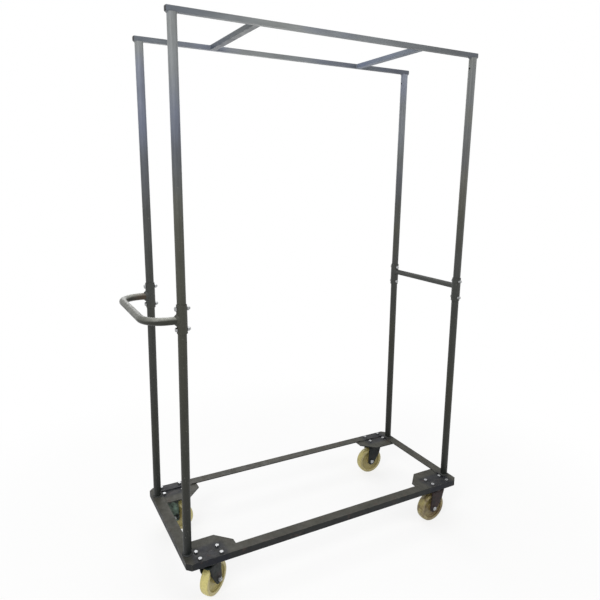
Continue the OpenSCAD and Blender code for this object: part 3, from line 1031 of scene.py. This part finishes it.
@dataclass
class BaseFrame:
    """Angle iron base with its corner plates."""

    flange: float = 0.040
    thickness: float = 0.004
    corner_cut: float = 0.016
    stitch_weld: Weld = Weld(leg=0.0042)
    stitch_rise: float = 0.8
    seam_weld: Weld = Weld(leg=0.0030, bulge=0.16, ripple=0.0004)
    side_stitches: tuple[Pair, ...] = ((0.062, 0.096), (0.136, 0.172))
    end_stitch: Pair = (0.084, 0.112)
    deck_seam: Pair = (0.038, 0.005)
    skirt_gap: Pair = (0.002, 0.001)

    def __post_init__(self) -> None:
        """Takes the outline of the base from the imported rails."""
        left, right = Span.of("end_rail_left"), Span.of("end_rail_right")
        self.middle_x = float(left.low[0] + right.high[0]) / 2
        self.half = np.array([(right.high[0] - left.low[0]) / 2, right.high[1]])
        self.deck_z = float(right.high[2])
        self.skirt_z = float(right.low[2])

    def nodes(self) -> list[str]:
        """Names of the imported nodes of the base."""
        rails = ["side_rail_front", "side_rail_rear", "end_rail_left", "end_rail_right"]
        return rails + [f"corner_plate_{corner.tag}" for corner in Corner]

    def point(self, corner: Corner, from_end: float, from_side: float, z: float) -> Array:
        """Point at distances in from the end and the side of a corner.

        Args:
            corner: The corner.
            from_end: Distance from the end of the base.
            from_side: Distance from the side of the base.
            z: Height.

        Returns:
            The point.
        """
        place = corner.signs * (self.half - np.array([from_end, from_side]))
        return np.array([self.middle_x + place[0], place[1], z])

    def stitches(self, corner: Corner) -> Iterator[Shape]:
        """Short welds where a corner plate meets the inner edges of the flanges.

        Args:
            corner: The corner.

        Yields:
            The bead on the end rail, then those on the side rail.
        """
        sign_x, sign_y = corner.signs
        runs = [(-sign_x * AHEAD, [(self.flange, y) for y in self.end_stitch])]
        runs += [(-sign_y * ACROSS, [(x, self.flange) for x in run]) for run in self.side_stitches]
        z = self.deck_z - self.thickness
        for inward, places in runs:
            start, stop = (self.point(corner, *place, z) for place in places)
            root = -(UP + inward) / math.sqrt(2)
            yield self.stitch_weld.line(start, stop, self.stitch_rise * UP, inward, root)

    def seams(self, corner: Corner) -> Iterator[Shape]:
        """Low welds on the joints of the rails.

        Args:
            corner: The corner.

        Yields:
            The bead on the deck, then the one up the skirt.
        """
        start, stop = (self.point(corner, x, self.flange, self.deck_z) for x in self.deck_seam)
        yield self.seam_weld.line(start, stop, ACROSS, -ACROSS, -UP)
        low = self.point(corner, self.corner_cut, 0.0, self.skirt_z + self.skirt_gap[0])
        high = self.point(corner, self.corner_cut, 0.0, self.deck_z - self.skirt_gap[1])
        along = np.array([-corner.signs[0], 0.0, 0.0])
        slant = np.array([corner.signs[0], -corner.signs[1], 0.0]) / math.sqrt(2)
        inward = along + slant
        yield self.seam_weld.line(low, high, along, slant, inward / np.linalg.norm(inward))

    def build(self, coat: Material) -> None:
        """Adds the welds and dresses the base.

        Args:
            coat: The deck's enamel.
        """
        dress_nodes(self.nodes(), coat)
        for corner in Corner:
            for kind, beads in (("plate_stitches", self.stitches), ("rail_seams", self.seams)):
                shape = joined(beads(corner))
                make_piece(f"{kind}_{corner.tag}", shape, coat, "frame", Slot.BASE)


@dataclass
class Uprights:
    """Posts, sleeves, push handle, crossbar and top rails."""

    foot_weld: Weld = Weld(leg=0.0046)
    grip_weld: Weld = Weld(leg=0.0075, bulge=0.0, ripple=0.0007)
    bar_weld: Weld = Weld(leg=0.0028, ripple=0.0004)
    rail_weld: Weld = Weld(leg=0.0032)
    # Painted sheen at the top of the height colour for the rails, a bluer one for the braces, and
    # painted reflections along their length.
    rail_top: Stops = ((0.98, "#7e8288"),)
    rail_tone: Stops = ((0.05, "#cacfdc"), (0.3, "#ffffff"), (0.55, "#eceff6"), (0.9, "#a0a3a9"))
    brace_top: Stops = ((0.98, "#6b7384"),)
    brace_tone: Stops = ((0.3, "#b4b5ac"), (0.7, "#ffffff"))
    # A greyer, dimmer painted sheen for one upper post.
    plain_top: Stops = ((0.77, "#5c5c5b"), (0.83, "#61625f"), (0.90, "#6e706e"), (0.97, "#787a76"))
    head_share: float = 0.88
    cap_thickness: float = 0.003
    cap_power: float = 7.0
    cap_pole: float = 0.06
    cap_rings: int = 10
    cap_around: int = 64

    def __post_init__(self) -> None:
        """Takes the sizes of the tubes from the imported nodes."""
        post = Span.of("upper_post_front_left")
        sleeve = Span.of("sleeve_front_left")
        self.post_radius = float(post.size[1]) / 2
        self.sleeve_radius = float(sleeve.size[0]) / 2
        self.rail = Span.of("top_rail_front")
        self.grip = Span.of("push_handle")
        self.bar = Span.of("end_crossbar")

    def tube_nodes(self) -> dict[Way, list[str]]:
        """Lists the nodes that carry the frame's enamel.

        Returns:
            Their names by the way that the tube runs.
        """
        kinds = ("lower_post", "upper_post", "sleeve")
        posts = [f"{kind}_{corner.tag}" for kind in kinds for corner in Corner]
        return {
            Way.UPRIGHT: posts,
            Way.LENGTH: ["top_rail_front", "top_rail_rear"],
            Way.WIDTH: ["top_brace_left", "top_brace_right", "end_crossbar"],
        }

    def foot_welds(self) -> Iterator[Shape]:
        """Welds round the feet of the posts. A foot is the end of its box on its own side.

        Yields:
            The bead at each corner.
        """
        for corner in Corner:
            box = Span.of(f"lower_post_{corner.tag}")
            edge = box.low[0] if corner.signs[0] < 0 else box.high[0]
            axis = edge - corner.signs[0] * self.post_radius
            centre = np.array([axis, box.middle[1], box.low[2]])
            yield self.foot_weld.arc(centre, self.post_radius, 1.0, 0.0, FULL_TURN)

    def head_welds(self) -> Iterator[Shape]:
        """Welds under the top rails, on each side of a post, as long as the rail is wide.

        Yields:
            The two beads at each corner.
        """
        half_angle = math.asin(self.head_share * float(self.rail.size[1]) / 2 / self.post_radius)
        for corner in Corner:
            box = Span.of(f"upper_post_{corner.tag}")
            centre = np.array([box.middle[0], box.middle[1], box.high[2]])
            for start in (-half_angle, math.pi - half_angle):
                yield self.rail_weld.arc(centre, self.post_radius, -1.0, start, 2 * half_angle)

    def brace_welds(self) -> Iterator[Shape]:
        """Upright welds where the braces meet the inner faces of the rails.

        Yields:
            The four beads of each brace.
        """
        for name in ("top_brace_left", "top_brace_right"):
            box = Span.of(name)
            for x, way_x in ((box.low[0], -1.0), (box.high[0], 1.0)):
                for y, way_y in ((box.low[1], 1.0), (box.high[1], -1.0)):
                    first, second = way_x * AHEAD, way_y * ACROSS
                    root = -(first + second) / math.sqrt(2)
                    ends = (box.low[2] + MM, box.high[2] - MM)
                    low, high = (np.array([x, y, z]) for z in ends)
                    yield self.rail_weld.line(low, high, first, second, root)

    def tube_welds(self, weld: Weld, tube: Span, ways: dict[Corner, Array]) -> Iterator[Shape]:
        """Saddle welds of a tube on two sleeves.

        Args:
            weld: The run of weld.
            tube: Box of the tube, for its height and thickness.
            ways: Unit way of the tube at each corner, away from its sleeve.

        Yields:
            The two beads.
        """
        for corner, way in ways.items():
            centre = Span.of(f"sleeve_{corner.tag}").middle
            centre[2] = tube.middle[2]
            yield weld.saddle(centre, self.sleeve_radius, float(tube.size[2]) / 2, way)

    def cap(self, centre: Array, way: float) -> Shape:
        """Domed cap on the end of a square rail.

        Its outline is the superellipse (h |cos a|^(2/n), h |sin a|^(2/n)) with the signs of cos
        and sin. Its skin is that outline times s, at a depth of thickness times (1 - s^5)^(1/2).

        Args:
            centre: Middle of the rail's open end.
            way: 1 or -1, the cap's way along X.

        Returns:
            The closed cap.
        """
        angle = turns(self.cap_around)
        half = float(self.rail.size[1]) / 2
        outline = np.stack([np.cos(angle), np.sin(angle)], axis=1)
        outline = half * np.sign(outline) * np.abs(outline) ** (2 / self.cap_power)
        share = np.sin(np.linspace(self.cap_pole, math.pi / 2, self.cap_rings))
        depth = self.cap_thickness * np.sqrt(np.clip(1 - share ** 5, 0.0, 1.0))
        rows = np.append(share, share[-1]), np.append(depth, -self.cap_thickness)
        points = np.empty((len(rows[0]), len(angle), 3))
        points[..., 0] = centre[0] + way * rows[1][:, None]
        points[..., 1:] = centre[1:] + rows[0][:, None, None] * outline[None]
        return grid(points, wrap_along=False).outward()

    def caps(self) -> Iterator[Shape]:
        """Domed caps on the open ends of the rails.

        Yields:
            The four caps.
        """
        for name in ("top_rail_front", "top_rail_rear"):
            box = Span.of(name)
            for x, way in ((box.low[0], -1.0), (box.high[0], 1.0)):
                yield self.cap(np.array([x, *box.middle[1:]]), way)

    def build(self, grip: Material, plastic: Material) -> None:
        """Adds the welds and caps and dresses the tubes.

        Args:
            grip: The worn enamel of the handle, with its painted highlight.
            plastic: The caps' plastic.
        """
        looks = {
            Way.UPRIGHT: {},
            Way.LENGTH: {"top": self.rail_top, "tone": self.rail_tone},
            Way.WIDTH: {"top": self.brace_top, "tone": self.brace_tone},
        }
        paints = {}
        for way, look in looks.items():
            enamel = FramePaint(f"charcoal_enamel_{way.name.lower()}", way.value, **look)
            paints[way] = enamel.material()
        paint = paints[Way.UPRIGHT]
        for way, nodes in self.tube_nodes().items():
            dress_nodes(nodes, paints[way])
        # The front right upper post gets a greyer painted sheen.
        plain = FramePaint("charcoal_enamel_less_chalked", Way.UPRIGHT.value, top=self.plain_top)
        dress_nodes(["upper_post_front_right"], plain.material())
        dress_nodes(["push_handle"], grip)
        dress_nodes(["rail_end_caps"], plastic)
        grip_ways = {Corner.FRONT_LEFT: -AHEAD, Corner.REAR_LEFT: -AHEAD}
        bar_ways = {Corner.FRONT_RIGHT: ACROSS, Corner.REAR_RIGHT: -ACROSS}
        welds = {
            "post_foot_welds": self.foot_welds(),
            "post_head_welds": self.head_welds(),
            "brace_welds": self.brace_welds(),
            "handle_welds": self.tube_welds(self.grip_weld, self.grip, grip_ways),
            "crossbar_welds": self.tube_welds(self.bar_weld, self.bar, bar_ways),
        }
        for name, beads in welds.items():
            make_piece(name, joined(beads), paint, "frame", Slot.TUBE)
        caps = make_piece("domed_rail_caps", joined(self.caps()), plastic, "frame", Slot.CAP)
        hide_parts("rail_end_caps")


@dataclass(frozen=True)
class Thread:
    """Screw thread that shows past a nut."""

    radius: float
    pitch: float
    depth: float = 0.0003
    around: int = 24
    per_pitch: int = 10
    least_rows: int = 12
    upright: float = 0.9
    tip: float = 0.72
    taper: float = 0.42

    def between(self, start: Array, end: Array) -> Shape:
        """Thread from one point to another.

        At a length z and an angle a, the radius is the bolt's plus depth times
        cos(2 pi z / pitch - a), and it draws in over the last part of a pitch.

        Args:
            start: Start on the bolt's axis.
            end: End on the bolt's axis.

        Returns:
            The closed thread.
        """
        length = float(np.linalg.norm(end - start))
        way = (end - start) / length
        side = np.cross(way, UP if abs(way[2]) < self.upright else AHEAD)
        side /= np.linalg.norm(side)
        other = np.cross(way, side)
        rows = max(self.least_rows, round(self.per_pitch * length / self.pitch))
        z = np.linspace(0.0, length, rows)[:, None]
        angle = turns(self.around)[None]
        radius = self.radius + self.depth * np.cos(FULL_TURN * z / self.pitch - angle)
        radius = radius * np.clip(self.tip + self.taper * (length - z) / self.pitch, 0.0, 1.0)
        round_way = np.cos(angle)[..., None] * side + np.sin(angle)[..., None] * other
        points = start + z[..., None] * way + radius[..., None] * round_way
        return grid(points, wrap_along=False).outward()


@dataclass
class Fasteners:
    """Bolts and nuts of the frame, with the threads past their nuts."""

    thread: Thread = Thread(radius=0.004, pitch=0.00125)
    tail: float = 0.003
    past: float = 0.0002
    nut_height: float = 0.0065
    sleeve_spacing: float = 0.066
    castor_spacing: Pair = (0.076, 0.0445)

    def castor_threads(self, kingpins: dict[Corner, Array]) -> Iterator[Shape]:
        """Threads under the castor nuts, at the four bolts round each kingpin.

        Args:
            kingpins: Place of the kingpin at each corner.

        Yields:
            The threads.
        """
        low = float(Span.of("castor_bolts").low[2])
        for place in kingpins.values():
            for sign_x, sign_y in ((-1, -1), (-1, 1), (1, -1), (1, 1)):
                reach = np.array([sign_x, sign_y]) * np.array(self.castor_spacing) / 2
                end = np.array([*(place[:2] + reach), low])
                yield self.thread.between(end + UP * (self.tail + MM), end - UP * self.past)

    def sleeve_threads(self) -> Iterator[Shape]:
        """Threads past the sleeve nuts.

        They point inwards at the left, and outwards in the crossbar's line at the right.

        Yields:
            The two threads of each sleeve.
        """
        for corner in Corner:
            sleeve = Span.of(f"sleeve_{corner.tag}")
            sign_x, sign_y = corner.signs
            way = AHEAD if sign_x < 0 else sign_y * ACROSS
            reach = float(sleeve.size[0]) / 2 + self.nut_height
            for rise in (-self.sleeve_spacing / 2, self.sleeve_spacing / 2):
                axis = sleeve.middle + rise * UP
                end = axis + way * (reach + self.tail + self.past)
                yield self.thread.between(axis + way * (reach - MM), end)

    def build(self, zinc: Material, kingpins: dict[Corner, Array]) -> None:
        """Adds the threads and dresses the fasteners.

        Args:
            zinc: The zinc plate.
            kingpins: Place of the kingpin at each corner.
        """
        nodes = ["sleeve_bolts", "sleeve_nuts", "castor_bolts", "castor_washers", "castor_nuts"]
        dress_nodes(nodes + ["kingpins", "swivel_balls"], zinc)
        threads = {
            "castor_bolt_threads": self.castor_threads(kingpins),
            "sleeve_bolt_threads": self.sleeve_threads(),
        }
        for name, shapes in threads.items():
            make_piece(name, joined(shapes), zinc, "frame", Slot.ZINC)


@dataclass
class Castor:
    """One swivel castor: plate, fork, axle and wheel, drawn with its trail along +X."""

    corner: Corner
    kingpin: Array
    axle: Array
    swivel: float
    soil: float
    tint: str
    wheel_radius: float = 0.0625
    tread_width: float = 0.032
    tread_crown: float = 0.0022
    rim: float = 0.015
    web_half: float = 0.007
    hub_half: float = 0.0195
    hub_radius: float = 0.01815
    bore_radius: float = 0.00715
    fork_half: float = 0.024
    fork_thickness: float = 0.004
    fork_bend: float = 0.007
    crown_top: float = 0.137
    crown_back: float = 0.034
    crown_front: float = 0.037
    crown_cut: float = 0.006
    shoulder: Pair = (-0.019, 0.1005)
    boss_radius: float = 0.018
    trail: float = 0.024
    race_radius: float = 0.023
    race_bore: float = 0.0061
    race_height: float = 0.0134
    axle_nut: float = 0.008
    axle_thread: Thread = Thread(radius=0.005, pitch=0.0015)
    axle_tail: float = 0.003
    axle_past: float = 0.0002
    wheel_around: int = 96
    tread_steps: int = 6
    wheel_rounding_mm: tuple[float, ...] = (3.4, 3.0, 4.0, 3.6, 1.6, 0.5)
    least_rounding_mm: float = 0.02
    foot_gap: float = 0.00005
    boss_start: float = 0.08
    boss_steps: int = 14
    leg_steps: int = 18
    bend_steps: int = 9
    crown_steps: int = 8
    fork_across: int = 12
    race_rounding_mm: tuple[float, ...] = (0.1, 2.5, 0.4, 0.1)
    race_around: int = 64

    @property
    def turn(self) -> Array:
        """Matrix that turns the castor to its swivel angle."""
        c, s = math.cos(self.swivel), math.sin(self.swivel)
        return np.array([[c, -s, 0.0], [s, c, 0.0], [0.0, 0.0, 1.0]])

    @property
    def floor_place(self) -> Array:
        """Place on the floor under the kingpin."""
        return np.array([self.kingpin[0], self.kingpin[1], 0.0])

    def wheel(self) -> Shape:
        """Wheel turned from its outline.

        The tread is a parabola: its radius falls by the crown times (y / half width)^2. The
        rim, web and hub have rounded corners, and the other half mirrors this one.

        Returns:
            The wheel about its own axle.
        """
        half = self.tread_width / 2
        rim_inner = self.wheel_radius - self.rim
        y = np.linspace(0.0, half, self.tread_steps)
        tread = np.stack([self.wheel_radius - self.tread_crown * (y / half) ** 2, y], axis=1)
        steps = [(rim_inner, half), (rim_inner, self.web_half), (self.hub_radius, self.web_half)]
        steps += [(self.hub_radius, self.hub_half), (self.bore_radius, self.hub_half)]
        upper = np.vstack([tread, steps])
        radii = np.concatenate([np.zeros(self.tread_steps - 1), self.wheel_rounding_mm])
        outline = np.vstack([upper, (upper * [1, -1])[:0:-1]])
        radii = np.maximum(np.concatenate([radii, radii[:0:-1]]), self.least_rounding_mm)
        return lathe(rounded(outline, radii * MM), self.wheel_around)

    def fork_edges(self, z: Array) -> tuple[Array, Array]:
        """Back and front edges of a fork leg at given heights.

        Above the touching points the edges are straight, and below them they are the boss
        circle, x = trail -+ sqrt(r^2 - (z - axle)^2).

        Args:
            z: Heights.

        Returns:
            X of the back edge and of the front edge.
        """
        axle = np.array([self.trail, self.axle[2]])
        top_back = np.array([self.crown_cut - self.crown_back, self.crown_top])
        top_front = np.array([self.crown_front, self.crown_top])
        shoulder = np.array(self.shoulder)
        touch_back = self.touch(shoulder, axle, 1.0)
        touch_front = self.touch(top_front, axle, -1.0)
        bow = np.sqrt(np.clip(self.boss_radius ** 2 - (z - axle[1]) ** 2, 0.0, None))
        x_back, z_back = np.stack([touch_back, shoulder, top_back], axis=1)
        x_front, z_front = np.stack([touch_front, top_front], axis=1)
        line_back, line_front = np.interp(z, z_back, x_back), np.interp(z, z_front, x_front)
        back = np.where(z < touch_back[1], axle[0] - bow, line_back)
        front = np.where(z < touch_front[1], axle[0] + bow, line_front)
        return back, front

    def touch(self, place: Array, centre: Array, side: float) -> Array:
        """Finds where a line from a place touches the boss circle.

        Args:
            place: The place.
            centre: Middle of the circle.
            side: 1 for the touching point to the left of the way to the place, or -1.

        Returns:
            The point.
        """
        line = place - centre
        opening = math.acos(self.boss_radius / np.linalg.norm(line))
        angle = math.atan2(line[1], line[0]) + side * opening
        return centre + self.boss_radius * np.array([math.cos(angle), math.sin(angle)])

    def fork_sheet(self) -> Shape:
        """Outer skin of the fork, one bent sheet.

        Along the bent line, from one leg's foot over the crown to the other's, y and z follow
        leg, quarter circle and crown. Across it, x goes from the back edge to the front edge.
        The crown's back corners are cut at 45 degrees.

        Returns:
            The open sheet.
        """
        foot = self.axle[2] - self.boss_radius + self.foot_gap
        boss_angle = np.linspace(self.boss_start, math.pi / 2, self.boss_steps)
        boss = self.axle[2] - self.boss_radius * np.cos(boss_angle)
        leg = np.linspace(self.axle[2], self.crown_top - self.fork_bend, self.leg_steps)[1:]
        leg_z = np.concatenate([[foot], boss, leg])
        bend = np.linspace(0.0, math.pi / 2, self.bend_steps)[1:]
        bend_y = self.fork_half - self.fork_bend * (1 - np.cos(bend))
        bend_z = self.crown_top - self.fork_bend * (1 - np.sin(bend))
        crown_y = np.linspace(self.fork_half - self.fork_bend, 0.0, self.crown_steps)[1:]
        half_y = np.concatenate([np.full(len(leg_z), self.fork_half), bend_y, crown_y])
        half_z = np.concatenate([leg_z, bend_z, np.full(len(crown_y), self.crown_top)])
        y, z = np.concatenate([half_y, -half_y[-2::-1]]), np.concatenate([half_z, half_z[-2::-1]])
        back, front = self.fork_edges(z)
        flat = self.fork_half - self.crown_cut
        crown = z > self.crown_top - self.fork_bend
        cut = np.maximum(np.abs(y) - flat, 0.0) - self.crown_back
        back = np.where(crown, np.minimum(back, cut), back)
        share = np.linspace(0.0, 1.0, self.fork_across)
        x = back[:, None] + (front - back)[:, None] * share[None]
        points = np.stack(np.broadcast_arrays(x, y[:, None], z[:, None]), axis=-1)
        return grid(points, wrap_along=False, wrap_across=False)

    def race(self) -> Shape:
        """Lower ball race on the crown: a short turned ring with a rounded rim.

        Returns:
            The ring about the kingpin.
        """
        inner, outer = self.race_bore, self.race_radius
        low, high = self.crown_top - MM, self.crown_top + self.race_height
        corners = np.array([[outer, low], [outer, high], [inner, high], [inner, low]])
        ring = lathe(rounded(corners, np.array(self.race_rounding_mm) * MM), self.race_around)
        upright = np.array([[1.0, 0.0, 0.0], [0.0, 0.0, -1.0], [0.0, 1.0, 0.0]])
        return ring.placed(upright, np.zeros(3))

    def build(self, steel: Material, zinc: Material, nylon: Material) -> None:
        """Makes the fork, race, wheel and axle thread and dresses the other nodes.

        Args:
            steel: The castor steel.
            zinc: The zinc plate.
            nylon: The wheel's nylon.
        """
        tag = self.corner.tag
        swivel_body, wheel_body = f"castor_{tag}", f"wheel_{tag}"
        dress_nodes([f"castor_plate_{tag}", f"fork_{tag}"], steel)
        dress_nodes([f"axle_sleeve_{tag}", f"axle_bolt_{tag}", f"axle_nut_{tag}"], zinc)
        dress_nodes([f"wheel_{tag}"], nylon)
        sheet = self.fork_sheet()
        sheet = Shape(sheet.points @ self.turn.T + self.floor_place, sheet.quads)
        fork = make_piece(f"pressed_fork_{tag}", sheet, steel, swivel_body, Slot.FORK)
        wall = fork.modifiers.new("wall", "SOLIDIFY")
        wall.thickness, wall.offset = self.fork_thickness, -1.0
        wall.use_even_offset = True
        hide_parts(f"fork_{tag}")
        ring = self.race().placed(self.turn, self.floor_place)
        race = make_piece(f"ball_race_{tag}", ring, steel, swivel_body, Slot.FORK)
        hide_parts(f"fork_{tag}")
        turned = self.wheel().placed(self.turn, self.axle)
        wheel = make_piece(f"moulded_wheel_{tag}", turned, nylon, wheel_body, Slot.NYLON)
        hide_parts(f"wheel_{tag}")
        side = -(self.turn @ ACROSS)
        start = self.axle + side * (self.fork_half + self.axle_nut - MM)
        end = start + side * (MM + self.axle_tail + self.axle_past)
        thread = self.axle_thread.between(start, end)
        make_piece(f"axle_thread_{tag}", thread, zinc, swivel_body, Slot.ZINC)


@dataclass(frozen=True)
class Lamp:
    """Soft square lamp: its place, the side of its square and its power in watts."""

    name: str
    place: Triple
    size: float
    power: float

    def hang(self, target: Triple) -> None:
        """Hangs the lamp in the scene.

        Args:
            target: Place that it faces.
        """
        data = bpy.data.lights.new(self.name, "AREA")
        data.size, data.energy = self.size, self.power
        lamp = bpy.data.objects.new(self.name, data)
        lamp.location = self.place
        lamp.rotation_euler = (Vector(target) - lamp.location).to_track_quat("-Z", "Y").to_euler()
        bpy.context.scene.collection.objects.link(lamp)


@dataclass
class Studio:
    """Floor, soft lights and the camera of the photograph."""

    lens: float = 33.306
    sensor: float = 36.0
    place: Triple = (-0.995995, -1.839061, 1.432295)
    heading: float = 28.5695
    pitch: float = -12.3880
    roll: float = 0.7385
    floor_half: float = 30.0
    floor_colour: str = "#f4f4f3"
    shadow_reach: Pair = (0.9, 1.9)
    even_share: float = 0.78
    even_light: float = 0.45
    target: Triple = (0.05, 0.0, 0.95)
    lamps: tuple[Lamp, ...] = (
        Lamp("key_lamp", (-2.8, -2.2, 3.2), 1.8, 84.0),
        Lamp("fill_lamp", (2.8, -2.6, 2.2), 2.4, 33.0),
        Lamp("top_lamp", (0.0, 0.6, 3.8), 2.0, 32.0),
        Lamp("back_lamp", (0.6, 3.2, 2.0), 2.4, 28.0),
    )

    def floor(self) -> None:
        """Pale floor.

        What the eye sees of it is mostly even white, and wholly so far from the trolley. The rest
        near the trolley is lit by the lamps, and so keeps the trolley's shadow.
        """
        coat = Coat("pale_studio_floor")
        matt = coat.add("ShaderNodeBsdfDiffuse", {"Color": linear(self.floor_colour)})
        white = coat.add("ShaderNodeEmission", {"Color": linear(WHITE), "Strength": 1.0})
        away = coat.add("ShaderNodeVectorMath", {0: coat.place}, out="Value", operation="LENGTH")
        ends = {"Value": away, "From Min": self.shadow_reach[0], "From Max": self.shadow_reach[1]}
        ends |= {"To Min": self.even_share, "To Max": 1.0}
        even = coat.add("ShaderNodeMapRange", ends, interpolation_type="SMOOTHSTEP")
        share = coat.add("ShaderNodeMath", {0: coat.seen(), 1: even}, operation="MULTIPLY")
        shader = coat.add("ShaderNodeMixShader", {0: share, 1: matt, 2: white})
        coat.add("ShaderNodeOutputMaterial", {"Surface": shader})
        edges = np.array([-self.floor_half, self.floor_half])
        points = np.stack([*np.meshgrid(edges, edges, indexing="ij"), np.zeros((2, 2))], axis=-1)
        shape = grid(points, wrap_along=False, wrap_across=False)
        mesh = bpy.data.meshes.new("studio_floor")
        mesh.from_pydata(shape.points.tolist(), [], shape.quads.tolist())
        mesh.materials.append(coat.material)
        floor = bpy.data.objects.new("studio_floor", mesh)
        bpy.context.scene.collection.objects.link(floor)

    def world(self) -> None:
        """White surroundings to the eye, and a softer even light on the trolley."""
        world = bpy.data.worlds.new("white_surroundings")
        nodes = Nodes(world)
        ends = {"Value": nodes.seen(), "To Min": self.even_light, "To Max": 1.0}
        strength = nodes.add("ShaderNodeMapRange", ends)
        light = nodes.add("ShaderNodeBackground", {"Color": linear(WHITE), "Strength": strength})
        nodes.add("ShaderNodeOutputWorld", {"Surface": light})
        bpy.context.scene.world = world

    def camera(self) -> None:
        """Camera at the photograph's place. Heading is clockwise from +Y, pitch is up."""
        heading, pitch, roll = np.radians([self.heading, self.pitch, self.roll]).tolist()
        level_share, rise = math.cos(pitch), math.sin(pitch)
        forward = Vector((math.sin(heading) * level_share, math.cos(heading) * level_share, rise))
        level = Vector((math.cos(heading), -math.sin(heading), 0.0))
        right = math.cos(roll) * level + math.sin(roll) * level.cross(forward)
        data = bpy.data.cameras.new("photo_camera")
        data.lens, data.sensor_width = self.lens, self.sensor
        camera = bpy.data.objects.new("photo_camera", data)
        axes = Matrix((right, right.cross(forward), -forward)).transposed()
        camera.matrix_world = Matrix.Translation(self.place) @ axes.to_4x4()
        bpy.context.scene.collection.objects.link(camera)
        bpy.context.scene.camera = camera

    def build(self) -> None:
        """Sets up the whole studio."""
        self.camera()
        self.world()
        self.floor()
        for lamp in self.lamps:
            lamp.hang(self.target)
        bpy.context.scene.view_settings.view_transform = "Standard"


def castors(joints: list[dict[str, Any]]) -> list[Castor]:
    """Reads the castors' places from the joints.

    Args:
        joints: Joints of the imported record.

    Returns:
        The four castors.
    """
    wear = {
        Corner.FRONT_LEFT: (0.18, "#15211c"),
        Corner.FRONT_RIGHT: (1.0, "#372726"),
        Corner.REAR_LEFT: (0.25, "#7c9584"),
        Corner.REAR_RIGHT: (0.45, "#25292a"),
    }
    by_name = {joint["name"]: joint for joint in joints}
    made = []
    for corner in Corner:
        roll = by_name[f"roll_{corner.tag}"]
        kingpin = np.array(by_name[f"swivel_{corner.tag}"]["pos_m"], float)
        swivel = math.atan2(-roll["axis"][0], roll["axis"][1])
        made.append(Castor(corner, kingpin, np.array(roll["pos_m"], float), swivel, *wear[corner]))
    return made


def main() -> None:
    """Builds and dresses the trolley, piece by piece."""
    logging.basicConfig(level=logging.INFO, format="%(name)s: %(message)s")
    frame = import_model()
    Studio().build()

    wheels = castors(frame["joints"])
    kingpins = {castor.corner: castor.kingpin for castor in wheels}
    base = BaseFrame()
    uprights = Uprights()
    fold = (float(abs(wheels[0].kingpin[0] - base.middle_x)), float(abs(wheels[0].kingpin[1])))
    zinc = ZINC_PLATE.material()
    base.build(DeckPaint(base.middle_x, fold).material())
    leg_x = float(Span.of("sleeve_front_left").low[0])
    grip = GripPaint(leg_x, float(uprights.grip.low[0]), float(uprights.grip.high[1]))
    uprights.build(grip.material(), CAP_PLASTIC.material())
    Fasteners().build(zinc, kingpins)
    for castor in wheels:
        tag = castor.corner.tag
        place = (tuple(castor.axle), castor.swivel, castor.wheel_radius)
        nylon = WheelNylon(f"cast_nylon_{tag}", *place, castor.soil)
        steel = CastorSteel(f"castor_steel_{tag}", castor.tint)
        castor.build(steel.material(), zinc, nylon.material())


if __name__ == "__main__":
    main()
